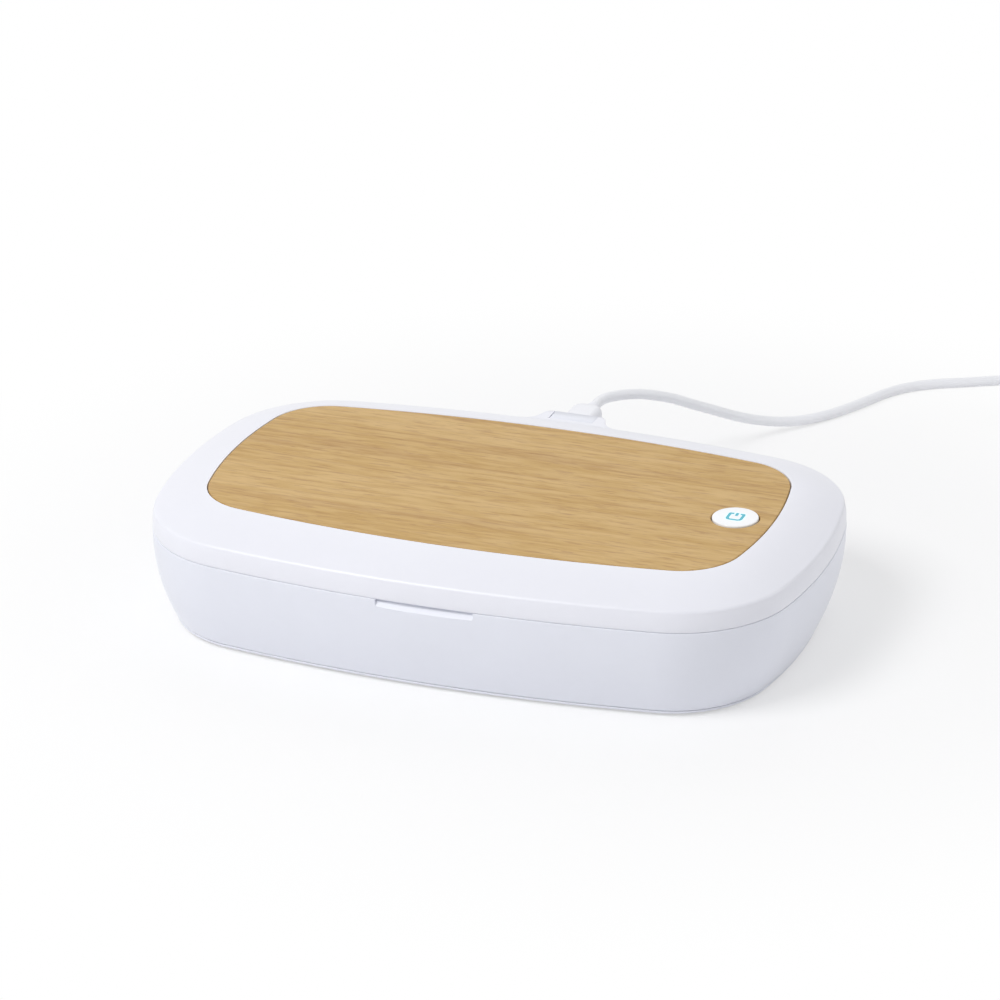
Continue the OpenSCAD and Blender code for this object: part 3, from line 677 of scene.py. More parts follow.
class Palette:
    """Every finish of the box, made once."""

    def __init__(self, effects: Effects, button_at: Flat) -> None:
        """Makes the materials.

        Args:
            effects: The shared effects.
            button_at: Middle of the button, in millimetres.
        """

        def plastic(name: str, colour: Colour, marked: Colour, **values: float) -> Material:
            """Returns a moulded plastic or rubber."""
            return Moulded(name, colour, marked, **values).make(effects)

        self.lid = plastic("satin_white", (0.84, 0.845, 0.905), (0.79, 0.795, 0.85), gloss=0.30, amount=0.3)
        self.base = plastic(
            "satin_pearl", (0.80, 0.815, 0.885), (0.755, 0.77, 0.835), gloss=0.34, amount=0.3
        )
        self.film = plastic(
            "adhesive_film", (0.62, 0.60, 0.54), (0.52, 0.50, 0.44), gloss=0.55, amount=0.5
        )
        self.liner = plastic(
            "gloss_liner", (0.78, 0.79, 0.83), (0.70, 0.71, 0.75),
            gloss=0.16, amount=0.35, coat=0.3, depth=0.002,
        )
        self.cord = plastic(
            "soft_vinyl", (0.88, 0.885, 0.915), (0.80, 0.805, 0.83),
            gloss=0.36, amount=0.35, cell=3400, depth=0.004,
        )
        self.grip = plastic(
            "plug_vinyl", (0.86, 0.865, 0.905), (0.78, 0.785, 0.82),
            gloss=0.30, amount=0.35, cell=3000, depth=0.004,
        )
        self.rubber = plastic(
            "foot_rubber", (0.055, 0.055, 0.058), (0.12, 0.12, 0.12),
            gloss=0.72, amount=0.6, cell=1500, depth=0.02,
        )
        self.bumper = plastic(
            "bumper_silicone", (0.55, 0.56, 0.58), (0.48, 0.49, 0.50),
            gloss=0.5, amount=0.4, cell=1800, depth=0.01,
        )
        self.black = plastic(
            "black_moulding", (0.03, 0.03, 0.033), (0.07, 0.07, 0.07), gloss=0.42, amount=0.5
        )
        self.board = plastic(
            "solder_mask", (0.02, 0.13, 0.07), (0.04, 0.19, 0.11),
            gloss=0.26, amount=0.8, coat=0.3, cell=700, depth=0.01,
        )
        self.ferrite = plastic(
            "ferrite_sheet", (0.06, 0.06, 0.065), (0.10, 0.10, 0.10),
            gloss=0.6, amount=0.6, cell=900, depth=0.01,
        )
        self.lamp = plastic(
            "lamp_package", (0.74, 0.70, 0.78), (0.60, 0.55, 0.66), gloss=0.12, amount=0.5, coat=0.6
        )
        self.cap = Haloed(
            "cap_white", (0.92, 0.93, 0.945), (0.87, 0.88, 0.90),
            gloss=0.25, amount=0.2, depth=0.003, centre=button_at,
        ).make(effects)
        self.mark = Lit(
            "lit_mark", (0.01, 0.33, 0.43), (0.01, 0.28, 0.37),
            gloss=0.3, amount=0.3, glow=(0.0, 0.30, 0.38), strength=0.3,
        ).make(effects)
        self.shell = Metal(
            "drawn_shell", (0.70, 0.70, 0.71), (0.58, 0.58, 0.59), gloss=0.22, along=(3500, 300, 3500)
        ).make(effects)
        self.copper = Metal(
            "enamelled_copper", (0.72, 0.36, 0.20), (0.58, 0.27, 0.14), gloss=0.28, along=(2500, 2500, 400)
        ).make(effects)
        self.nickel = Metal("bright_nickel", (0.72, 0.70, 0.67), (0.60, 0.58, 0.55), gloss=0.14).make(effects)
        self.gold = Metal("gold_contacts", (0.80, 0.60, 0.28), (0.66, 0.48, 0.22), gloss=0.2).make(effects)
        self.steel = Metal("zinc_steel").make(effects)
        self.wood = Timber("oiled_maple").make(effects)
        self.quartz = Clear("quartz").make(effects)


# ---------- the box ----------


@dataclass(frozen=True)
class Outline:
    """The box seen from above: eight tangent arcs and a hump at the rear."""

    length: float = 216.0
    width: float = 134.0
    side_r: float = 504.0
    end_r: float = 160.0
    corner_r: float = 38.4
    hump_half: float = 8.0
    hump_out: float = 8.0
    flank_turn: float = 70.0
    flank_r: float = 2.6
    fillet_r: float = 6.0
    centre_y: float = -4.0
    end_steps: int = 8
    corner_steps: int = 28
    side_steps: int = 14
    flank_steps: int = 8

    def _quarter(self, ix: float, iy: float) -> list[Flat]:
        """Draws a quarter of the outline about its own middle.

        Args:
            ix: How far the ends are drawn in.
            iy: How far the long sides are drawn in.

        Returns:
            Its points, from the middle of the right end to the middle of the rear side.
        """
        long_r, end_r, corner_r = (r - (ix + iy) / 2 for r in (self.side_r, self.end_r, self.corner_r))
        long_at = Vector((0, self.width / 2 - iy - long_r))
        end_at = Vector((self.length / 2 - ix - end_r, 0))
        far_long, far_end, span = long_r - corner_r, end_r - corner_r, (end_at - long_at).length
        along = (far_long**2 - far_end**2 + span**2) / (2 * span)
        step = (end_at - long_at).normalized()
        corner = long_at + step * along + Vector((step.y, -step.x)) * sqrt(far_long**2 - along**2)
        turn_long, turn_end = (atan2(way.y, way.x) for way in (corner - long_at, corner - end_at))
        points = [around(end_r, turn_end * i / self.end_steps, end_at) for i in range(self.end_steps)]
        for i in range(self.corner_steps):
            turn = turn_end + (turn_long - turn_end) * i / self.corner_steps
            points.append(around(corner_r, turn, corner))
        side = self._stations(long_r * cos(turn_long))
        return points + [(x, long_at.y + sqrt(long_r**2 - x * x)) for x in side]

    def _stations(self, start: float) -> list[float]:
        """Places the points of the rear side, closer together on the hump's flank.

        Args:
            start: Where the long side starts at the corner.

        Returns:
            Places along X, from the corner to the middle.
        """
        flank, fillet, end = self._flank()
        turns = [radians(self.flank_turn * i / self.flank_steps) for i in range(self.flank_steps + 1)]
        places = [end + (start - end) * (1 - i / self.side_steps) for i in range(self.side_steps)]
        places += [end - self.fillet_r * sin(t) for t in turns]
        places += [flank + (fillet - flank) * t for t in (0.67, 0.33)]
        places += [self.hump_half + self.flank_r * sin(t) for t in reversed(turns)]
        return places + [self.hump_half * (1 - i / 3) for i in (1, 2, 3)]

    def _flank(self) -> Point:
        """Measures the hump's flank.

        Returns:
            Where its rear corner, its straight part and its wide fillet end along X.
        """
        turn = radians(self.flank_turn)
        straight = self.hump_out - (self.flank_r + self.fillet_r) * (1 - cos(turn))
        flank = self.hump_half + self.flank_r * sin(turn)
        fillet = flank + straight / tan(turn)
        return flank, fillet, fillet + self.fillet_r * sin(turn)

    def _hump(self, x: float) -> float:
        """Measures the hump's depth.

        Args:
            x: Place along X.

        Returns:
            The share of the hump's depth there.
        """
        x, turn = abs(x), radians(self.flank_turn)
        flank, fillet, end = self._flank()
        if x <= self.hump_half:
            return 1.0
        if x <= flank:
            depth = self.hump_out - self.flank_r + sqrt(self.flank_r**2 - (x - self.hump_half) ** 2)
        elif x <= fillet:
            depth = self.hump_out - self.flank_r * (1 - cos(turn)) - (x - flank) * tan(turn)
        elif x < end:
            depth = self.fillet_r - sqrt(self.fillet_r**2 - (end - x) ** 2)
        else:
            depth = 0.0
        return depth / self.hump_out

    def ring(self, ix: float, iy: float, z: float, out: float = 0.0) -> Ring:
        """Draws the outline.

        Args:
            ix: How far the ends are drawn in, in millimetres.
            iy: How far the long sides are drawn in.
            z: Height of the ring.
            out: How far the hump stands out.

        Returns:
            The ring's points, anticlockwise.
        """
        quarter = self._quarter(ix, iy)
        rear = [(x, y + out * self._hump(x)) for x, y in quarter]
        left = [(-x, y) for x, y in reversed(rear[1:-1])]
        front_left = [(-x, -y) for x, y in quarter]
        front_right = [(x, -y) for x, y in reversed(quarter[1:-1])]
        return [(x, y + self.centre_y, z) for x, y in [*rear, *left, *front_left, *front_right]]


@dataclass
class Heights:
    """Heights and insets that several pieces share, in millimetres."""

    foot: float = 0.6
    part: float = 30.6
    lip: float = 30.545
    lid: float = 30.655
    crease: float = 36.45
    crease_r: float = 1.3
    top: float = 43.0
    deck: float = 41.0
    plate_under: float = 41.2
    ceiling: float = 39.4
    ledge: float = 28.4
    rim_x: float = 17.5
    rim_y: float = 18.5
    wall: float = 2.0
    hinge_y: float = 66.5
    hinge_z: float = 33.0
    edge: float = 0.22


@dataclass
class Workshop:
    """What every sub-assembly needs: the sizes, the finishes and how a piece is handed over."""

    outline: Outline
    heights: Heights
    palette: Palette

    def hand_over(self, piece: Piece, body: Body, material: Material, slot: Slot, *nodes: str) -> Piece:
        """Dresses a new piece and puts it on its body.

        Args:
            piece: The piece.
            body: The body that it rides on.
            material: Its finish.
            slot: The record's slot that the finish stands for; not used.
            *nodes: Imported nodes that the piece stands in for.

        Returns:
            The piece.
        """
        piece.data.materials.clear()
        piece.data.materials.append(material)
        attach(piece, body.value)
        if nodes:
            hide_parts(*nodes)
        LOG.info("%s rides on %s and stands for %s", piece.name, body.value, ", ".join(nodes) or "nothing")
        return piece


@dataclass
class BaseHousing:
    """Outer wall of the base, its bottom plate and the tower that carries port and hinge.

    The low lip is given as rise and inset, the plate's edge as inset and rise.
    """

    shop: Workshop
    end_drop: float = 7.7
    side_drop: float = 5.7
    curve: float = 2.3
    seam: float = 1.85
    low_lip: tuple[Flat, ...] = ((0.12, 0.5), (0, 0.22), (0, 0.1), (0.1, 0.0))
    side_steps: int = 26
    inner_z: tuple[float, ...] = (24.5, 18, 12.5, 8, 4.5)
    plate_top: float = 2.8
    plate_edge: Flat = (1.1, 0.75)
    recess_w: float = 32.0
    recess_depth: float = 1.4
    recess_low: float = 27.8
    recess_lip: float = 0.3
    recess_corner: float = 1.9
    tower_half: float = 7.49
    tower_r: float = 5.6
    tower_top: float = 4.6
    tower_rear: float = 4.5
    tower_front: float = -5.0
    chin_top: float = -3.3
    chin_drop: float = 13.7
    chin_reach: float = 7.7
    foot_at: tuple[Flat, ...] = ((78, 36), (-78, 36), (-78, -44), (78, -44))
    screw_at: tuple[Flat, ...] = ((56, 30), (-56, 30), (-56, -38), (56, -38))

    def _drawn_in(self, z: float) -> Flat:
        """Measures the drawn-in side.

        Args:
            z: Height.

        Returns:
            How far the ends and the long sides are drawn in there.
        """
        h = self.shop.heights
        share = (1 - (z - h.foot) / (h.part - h.foot)) ** self.curve
        return self.end_drop * share, self.side_drop * share

    def _side(self, z: float, more: float = 0.0) -> Ring:
        """Returns the ring of the drawn-in side at a height."""
        ex, ey = self._drawn_in(z)
        return self.shop.outline.ring(ex + more, ey + more, z)

    def wall(self) -> Piece:
        """Builds the outer wall, with softened lips and the finger recess.

        Returns:
            The new object.
        """
        h, ring = self.shop.heights, self.shop.outline.ring
        low, rise, bend = self.seam + 0.15, 0.4, 1.15
        rings = [self._side(low + up, inset) for up, inset in self.low_lip]
        for share in ((i / self.side_steps) ** bend for i in range(self.side_steps + 1)):
            rings.append(self._side(low + rise + (h.lip - h.edge - low - rise) * share))
        for turn in (radians(t) for t in (30, 60, 90)):
            inset = h.edge * (1 - cos(turn))
            rings.append(ring(inset, inset, h.lip - h.edge + h.edge * sin(turn)))
        inner = [(h.wall - 0.15, h.lip), (h.wall, h.lip - 0.15), (h.wall, h.ledge)]
        inner += [(h.wall * 2, h.ledge), (h.wall * 2, h.ledge - 1.2)]
        rings += [ring(inset, inset, z) for inset, z in inner]
        rings += [self._side(z, h.wall + 0.2) for z in (*self.inner_z, low + 0.12)]
        piece = loft("base_wall", rings, closed=True)
        combine(piece, self._scoop())
        return piece

    def _scoop(self) -> Piece:
        """Builds the solid that hollows the finger recess out.

        Returns:
            The new object: a sloped trough, cropped by a window with round lower corners.
        """
        front, low = self.shop.outline.centre_y - self.shop.outline.width / 2, self.recess_low
        deep, lip, half, top, before = self.recess_depth, self.recess_lip, self.recess_w / 2, 4, -3
        slot = deep + 0.4
        section = [(before, -lip, 0), (0, -lip, 0), (0, 0, lip), (deep - 0.2, 1.7, 0.3), (slot, 2.1, 0.2)]
        section += [(slot, top, 0), (before, top, 0)]
        trough = prism("scoop", soften(section), lengthwise(front, low), -half - 1, half + 1)
        sides = [(-half, -lip, self.recess_corner), (half, -lip, self.recess_corner)]
        sides = soften([(-half, top + 1, 0), *sides, (half, top + 1, 0)], 8)
        window = prism("window", sides, lambda u, v, w: (u, front + w, low + v), -4.0, 3.0)
        combine(trough, window, Joining.CROP, 30)
        return trough

    def bottom_plate(self) -> Piece:
        """Builds the bottom plate with its own rounded edge, foot recesses and screw recesses.

        Returns:
            The new object.
        """
        h, ring, steps = self.shop.heights, self.shop.outline.ring, 8
        (ex, ey), (edge, rise), spigot = self._drawn_in(self.seam), self.plate_edge, h.wall + 0.45
        rings = [ring(self.end_drop + edge, self.side_drop + edge, h.foot)]
        for t in (i / steps for i in range(1, steps)):
            turn = t * pi / 2
            ix, iy = self.end_drop * (1 - t) + ex * t, self.side_drop * (1 - t) + ey * t
            drop = edge * (1 - sin(turn))
            rings.append(ring(ix + drop, iy + drop, h.foot + rise * (1 - cos(turn))))
        upper = [(0, self.seam - 0.45), (0, self.seam - 0.12), (0.12, self.seam)]
        upper += [(spigot, self.seam), (spigot, self.plate_top)]
        rings += [ring(ex + inset, ey + inset, z) for inset, z in upper]
        piece = loft("bottom_plate", rings)
        for x, y in self.foot_at:
            seat = [(0, -1), (7.4, -1), (7.15, 0.15), (7.15, 0.9), (0, 0.9)]
            combine(piece, lathe("foot_seat", seat, (x, y, h.foot)))
        for x, y in self.screw_at:
            seat = [(0, -1), (2.9, -1), (2.6, 0.2), (2.6, 1.3), (1.3, 1.3), (1.3, 4), (0, 4)]
            combine(piece, lathe("screw_seat", seat, (x, y, h.foot), 48))
        return piece

    def tower(self) -> Piece:
        """Builds the port tower: a knuckle about the hinge with a swept chin below it.

        Returns:
            The new object.
        """
        h, r, rear, front = self.shop.heights, self.tower_r, self.tower_rear, self.tower_front
        low = self.chin_top - self.chin_drop
        section = [(front, low - 1.5), (front + 0.9, low - 1.0)]
        for turn in (radians(90 * (1 - i / 16)) for i in range(17)):
            section.append((rear - self.chin_reach * sin(turn), low + self.chin_drop * cos(turn)))
        rise, crest, back = acos(rear / r), asin(self.tower_top / r), acos(front / r)
        section += [around(r, turn) for turn in (rise, (rise + crest) / 2, crest)]
        start = pi - crest
        section += [around(r, start + (TURN - back - start) * i / 12) for i in range(13)]
        place, half = lengthwise(h.hinge_y, h.hinge_z), self.tower_half
        piece = prism("port_tower", section, place, -half, half)
        round_edges(piece, 0.35, 40)
        return piece

    def build(self) -> None:
        """Makes and hands over the pieces."""
        shop, paint = self.shop, self.shop.palette
        shop.hand_over(self.wall(), Body.BASE, paint.base, Slot.PEARL, "base_shell")
        shop.hand_over(self.tower(), Body.BASE, paint.base, Slot.PEARL, "base_shell")
        shop.hand_over(self.bottom_plate(), Body.BASE, paint.base, Slot.PEARL, "bottom_cover")


@dataclass
class Lid:
    """Lid with its sloped rim, soft crease, hump and notch, and the wooden plate let into it.

    The inner side is given as inset and height, the notch's far corner as place about the hinge.
    """

    shop: Workshop
    button_at: Flat
    rim_bow: float = 1.38
    rim_steps: int = 22
    crease_end: float = 66.0
    crease_steps: int = 10
    crease_in: float = 0.6
    side_in: float = 0.1
    inner: tuple[Flat, ...] = ((6, 37.9), (3.2, 36.3), (2.3, 34.6))
    notch_half: float = 7.55
    notch_r: float = 5.75
    notch_far: Flat = (8.0, 12.0)
    button_hole: float = 7.4
    plate_hole: float = 7.7
    plate_gap: float = 0.36

    def _crease(self, turn: float) -> Flat:
        """Returns the inset and the height of the rounded crease at a turn in radians."""
        h = self.shop.heights
        return h.crease_r * (1 - cos(turn)) + self.crease_in, h.crease + h.crease_r * sin(turn)

    def _rim(self, u: float, out: float = 0.0) -> Ring:
        """Draws a ring of the rim's top.

        Args:
            u: How far in it lies, from 0 at the crease to 1 at the plate.
            out: How far the hump stands out.

        Returns:
            The ring's points.
        """
        h = self.shop.heights
        start, low = self._crease(radians(self.crease_end))
        z = low + (h.top - low) * (self.rim_bow * u + (1 - self.rim_bow) * u * u)
        return self.shop.outline.ring(start + u * (h.rim_x - start), start + u * (h.rim_y - start), z, out)

    def shell(self) -> Piece:
        """Builds the lid's shell: up its inner side, out under the edge, up the side and in to the plate.

        Returns:
            The new object.
        """
        h, ring, out = self.shop.heights, self.shop.outline.ring, self.shop.outline.hump_out
        inner = ((19, h.ceiling), (11, h.ceiling), *self.inner, (2.1, h.lid + 0.12), (2.25, h.lid))
        rings = [ring(inset, inset, z) for inset, z in inner]
        side = []
        for turn in (radians(t) for t in (90, 60, 30, 0)):
            inset = self.side_in + h.edge * (1 - cos(turn))
            side.append((inset, h.lid + h.edge - h.edge * sin(turn)))
        for t in (0.25, 0.5, 0.75, 0.9):
            side.append((self.side_in + 0.5 * t**3, h.lid + h.edge + (h.crease - h.lid - h.edge) * t))
        turns = [radians(self.crease_end * i / self.crease_steps) for i in range(self.crease_steps + 1)]
        side += [self._crease(turn) for turn in turns]
        rings += [ring(inset, inset, z, out) for inset, z in side]
        rings += [self._rim(0.02 * t, out * (1 - t)) for t in (0.15, 0.4, 0.65, 0.82, 0.92)]
        rings += [self._rim(0.025, 0.25), self._rim(0.035, 0.06), self._rim(0.05)]
        rings += [self._rim(0.05 + 0.935 * i / self.rim_steps) for i in range(1, self.rim_steps + 1)]
        pocket = ((-0.08, h.top - 0.04), (0, h.top - 0.16), (0, h.deck))
        rings += [ring(h.rim_x + inset, h.rim_y + inset, z) for inset, z in pocket]
        piece = loft("lid_cover", rings)
        combine(piece, self._notch())
        low, r = h.ceiling - 1, self.button_hole
        combine(piece, lathe("hole", [(0, low), (r, low), (r, h.top), (0, h.top)], (*self.button_at, 0)))
        return piece

    def _notch(self) -> Piece:
        """Builds the solid that clears the tower, round about the hinge.

        Returns:
            The new object.
        """
        h, r, (rear, top) = self.shop.heights, self.notch_r, self.notch_far
        clear = [around(r, radians(turn)) for turn in range(90, 271, 5)]
        section = [(rear, top), (0.0, top), *clear, (rear, -r)]
        place, half = lengthwise(h.hinge_y, h.hinge_z), self.notch_half
        return prism("notch", section, place, -half, half)

    def plate(self) -> Piece:
        """Builds the wooden plate, its edges just broken, with the hole for the button.

        Returns:
            The new object.
        """
        h, ring, gap, r = self.shop.heights, self.shop.outline.ring, self.plate_gap, self.plate_hole
        low, top = h.plate_under, h.top
        edge = [(0.08, low), (0.0, low + 0.08), (0.0, top - 0.22), (0.05, top - 0.08), (0.16, top)]
        piece = loft("charging_plate", [ring(h.rim_x + gap + s, h.rim_y + gap + s, z) for s, z in edge])
        hole = [(0, low - 1), (r, low - 1), (r, top - 0.15), (r + 0.15, top)]
        hole += [(r + 0.3, top + 0.3), (0, top + 0.3)]
        combine(piece, lathe("plate_hole", hole, (*self.button_at, 0), 128))
        return piece

    def build(self) -> None:
        """Makes and hands over the pieces."""
        shop, paint = self.shop, self.shop.palette
        shop.hand_over(self.shell(), Body.LID, paint.lid, Slot.WHITE, "lid_shell")
        shop.hand_over(self.plate(), Body.LID, paint.wood, Slot.WOOD, "wood_plate")


@dataclass
class StartButton:
    """Round cap with a lit standby mark."""

    shop: Workshop
    at: Flat
    radius: float = 7.3
    top: float = 43.4
    skin: float = 1.4
    skirt: float = 38.3
    flange: float = 39.35
    mark_w: float = 5.4
    line: float = 0.95
    bar: float = 2.1

    def cap(self) -> Piece:
        """Builds the cap: a soft-edged dish with a keeper flange and an inner stem.

        Returns:
            The new object.
        """
        r, top, under, low, flange = self.radius, self.top, self.top - self.skin, self.skirt, self.flange
        stem_r, stem_low, thin, wide = 1.5, under - 1.5, r - 1.2, r + 1
        profile = [(0, stem_low, 0), (stem_r, stem_low, 0.1), (stem_r, under, 0.2), (thin, under, 0.3)]
        profile += [(thin, low, 0.1), (wide, low, 0.15), (wide, flange, 0.15), (r, flange, 0.1)]
        profile += [(r, top, 0.42), (0, top, 0)]
        piece = lathe("start_cap", soften(profile, 5), (*self.at, 0), 128)
        for outline in self._mark_lines():
            combine(piece, self._raised("slot", outline, under - 1, top + 1))
        return piece

    def _mark_lines(self) -> list[list[Flat]]:
        """Draws the mark about its own middle.

        Returns:
            The outlines of the open square and of its short bar.
        """
        half, gap, w = self.mark_w / 2, self.line * 1.1, self.line / 2
        square: list[Flat] = []
        for side, reach, corner in ((-1, half, self.line * 1.75), (1, half - self.line, self.line * 0.95)):
            turns = [(x * side * reach, y * reach, corner) for x, y in ((1, 1), (1, -1), (-1, -1), (-1, 1))]
            square += soften([(side * gap, reach, 0), *turns, (-side * gap, reach, 0)], 8)
        high, low = half + 0.2, half - self.bar
        ends = [(0, high, 0), (-w, high, 0.3), (-w, low, 0.3), (w, low, 0.3), (w, high, 0.3), (0, high, 0)]
        return [square, soften(ends, 5)[:-1]]

    def _raised(self, name: str, outline: Sequence[Flat], low: float, high: float) -> Piece:
        """Returns a flat outline pulled up between two heights over the button."""
        x, y = self.at
        return prism(name, outline, lambda u, v, w: (x + u, y + v, w), low, high)

    def mark(self) -> Piece:
        """Builds the light guide whose top shows as the mark.

        Returns:
            The new object.
        """
        under, low, inner, outer = self.top - self.skin, self.top - self.skin - 0.6, 1.55, 4.4
        base = [(inner, low), (outer, low), (outer, under), (inner, under), (inner, low)]
        piece = lathe("start_mark", base, (*self.at, 0), 64)
        for outline in self._mark_lines():
            combine(piece, self._raised("line", outline, under - 0.05, self.top - 0.03), Joining.ADD)
        return piece

    def build(self) -> None:
        """Makes and hands over the pieces."""
        shop, paint = self.shop, self.shop.palette
        shop.hand_over(self.cap(), Body.BUTTON, paint.cap, Slot.WHITE, "button_cap")
        shop.hand_over(self.mark(), Body.BUTTON, paint.mark, Slot.LIT, "icon_light_guide")


@dataclass
class SupplyCord:
    """White supply cord: small plug in the port, run to the table, coil, and the far plug.

    A plug's size is its width, height and length. The turns of coil and strap are in degrees.
    """

    shop: Workshop
    diameter: float = 3.5
    route: tuple[Point, ...] = (
        (0, 87, 33), (0, 91, 33), (0.6, 95, 32.8), (2.2, 100, 32), (4.8, 105.5, 30.8), (8, 111.5, 29),
        (12, 118, 26.3), (16, 124.5, 23), (20.5, 131, 19), (25.5, 138, 14.8), (30.5, 145, 10.6),
        (35.5, 152, 7), (40.5, 158.4, 4.4), (46, 164.8, 2.7), (51.5, 171.4, 2), (56.5, 178.4, 1.8),
        (61, 186, 1.8), (65, 193.8, 1.8), (69, 201.6, 1.8), (74.5, 208.4, 1.8), (82, 214, 1.8),
        (91, 218.6, 1.8), (100, 223.2, 1.8), (108.5, 227, 1.95), (117, 229.8, 2.2), (125, 231.4, 2.3),
    )
    coil_at: Flat = (142.0, 208.0)
    coil_r: float = 26.0
    pitch: float = 4.0
    turns: int = 3
    last_turn: float = 80.0
    start_turn: float = 100.0
    low: float = 2.3
    climb: float = 4.0
    end_z: float = 4.0
    steps: int = 24
    plug_y: float = 71.0
    plug_size: Point = (10.5, 7.0, 11.5)
    relief_l: float = 4.5
    relief_r: float = 2.8
    relief_gap: float = 0.25
    straight_out: float = 32.0
    far_relief_l: float = 9.0
    far_relief_r: float = 2.9
    far_size: Point = (15.8, 7.8, 21.0)
    shell_l: float = 12.0
    strap_t: float = 0.5
    strap_w: float = 6.0
    strap_turn: float = 200.0
    strap_from: float = 12.5
    strap_to: float = 25.2

    @property
    def inner(self) -> float:
        """Returns the radius of the coil's innermost turn."""
        return self.coil_r - self.pitch * self.turns

    @property
    def exit_x(self) -> float:
        """Returns where along X the cord leaves the coil."""
        return self.coil_at[0] + self.inner + self.pitch * (self.turns - self.last_turn / 360)

    @property
    def far_y(self) -> float:
        """Returns where along Y the cord goes into the far plug's sleeve."""
        return self.coil_at[1] - self.straight_out

    def _coil(self) -> list[Point]:
        """Draws the coil's middle line.

        Returns:
            Its points: in along the table, up, out above, and straight down to the far plug.
        """

        def polar(r: float, a: float, z: float) -> Point:
            """Returns a point of the coil at an angle in degrees."""
            return (*around(r, radians(a), self.coil_at), z)

        start, high, steps = self.start_turn, self.low + self.climb, self.steps
        turn, rim = radians(start), polar(self.coil_r, start, self.low)
        points = [(rim[0] - 5 * sin(turn), rim[1] + 5 * cos(turn), self.low)]
        for t in (i / steps for i in range(self.turns * steps + 1)):
            points.append(polar(self.coil_r - self.pitch * t, start - 360 * t, self.low))
        for t in (2 * i / steps for i in range(1, steps // 2)):
            squeeze = 0.6 * sin(pi * t)
            points.append(polar(self.inner - squeeze, start - 180 * t, self.low + self.climb * t))
        for t in (i / steps for i in range(int((self.turns - self.last_turn / 360) * steps) + 1)):
            points.append(polar(self.inner + self.pitch * t, start - 180 - 360 * t, high))
        for back, share in ((0, 1), (9, 1), (14, 1), (19, 0.75), (23, 0.25), (27, 0), (self.straight_out, 0)):
            points.append((self.exit_x, self.coil_at[1] - back, self.end_z + (high - self.end_z) * share))
        return points

    def cord(self) -> tuple[Piece, float]:
        """Builds the cord as a round tube along one line.

        Returns:
            The new object, and its length in metres.
        """
        line = [tuple(c * MM for c in p) for p in flowing([*self.route, *self._coil()])]
        curve = bpy.data.curves.new("supply_cord", "CURVE")
        curve.dimensions = "3D"
        curve.bevel_depth = self.diameter / 2 * MM
        curve.bevel_resolution = 6
        curve.use_fill_caps = True
        spline = curve.splines.new("POLY")
        spline.points.add(len(line) - 1)
        for place, point in zip(spline.points, line):
            place.co = (*point, 1)
        spline.use_smooth = True
        piece = bpy.data.objects.new("supply_cord", curve)
        bpy.context.scene.collection.objects.link(piece)
        return piece, sum((Vector(b) - Vector(a)).length for a, b in zip(line, line[1:]))

    def _grip(
        self, name: str, size: Point, front: Sequence[Point], body: Sequence[Sequence[float]], at: Point
    ) -> Piece:
        """Builds a moulded grip through rounded sections.

        Args:
            name: Name of the piece.
            size: Its width, height and length.
            front: Its rounded front edge, as how much smaller it is, its corners' radius and its place.
            body: The rest, as how much narrower and lower it is, its corners' radius and its place.
            at: Where the grip starts.

        Returns:
            The new object.
        """
        width, height = size[:2]
        sections = [(width - less, height - less, corner, y) for less, corner, y in front]
        sections += flowing([(width - narrow, height - flat, corner, y) for narrow, flat, corner, y in body])
        rings = []
        for w, t, corner, y in sections:
            ring = []
            for quarter, (sx, sz) in enumerate(((1, 1), (-1, 1), (-1, -1), (1, -1))):
                middle = (at[0] + sx * (w / 2 - corner), at[2] + sz * (t / 2 - corner))
                for i in range(11):
                    x, z = around(corner, radians(quarter * 90 + i * 9), middle)
                    ring.append((x, at[1] + y, z))
            rings.append(ring)
        return loft(name, rings, sharp=50)

    def near_grip(self) -> Piece:
        """Builds the small plug's grip, with its soft front edge.

        Returns:
            The new object.
        """
        long = self.plug_size[2]
        front = ((1.8, 1.6, 0), (1.3, 1.9, 0.1), (0.85, 2.1, 0.45), (0.4, 2.2, 1.0), (0.12, 2.25, 1.6))
        body = [(0, 0, 2.3, 2.2), (0, 0, 2.35, long * 0.42), (0, 0, 2.4, long * 0.72)]
        body += [(0.6, 0.2, 2.6, long * 0.86), (2.2, 0.8, 2.6, long * 0.96), (3.8, 1.6, 2.2, long)]
        at = (0, self.plug_y, self.shop.heights.hinge_z)
        return self._grip("near_plug_grip", self.plug_size, front, body, at)

    def far_grip(self) -> Piece:
        """Builds the far plug's grip.

        Returns:
            The new object.
        """
        long = self.far_size[2]
        front = ((1.4, 1.2, 0), (0.8, 1.5, 0.05), (0.3, 1.8, 0.25), (0.1, 1.9, 0.5))
        body = [(0, 0, 2.0, 0.9), (0, 0, 2.1, long * 0.4), (0, 0, 2.2, long - 5)]
        body += [(1, 0.3, 2.8, long - 2), (3, 1, 3, long - 0.6), (5, 1.8, 2.8, long)]
        at = (self.exit_x, self.far_y - self.far_relief_l - long, self.end_z)
        return self._grip("far_plug_grip", self.far_size, front, body, at)

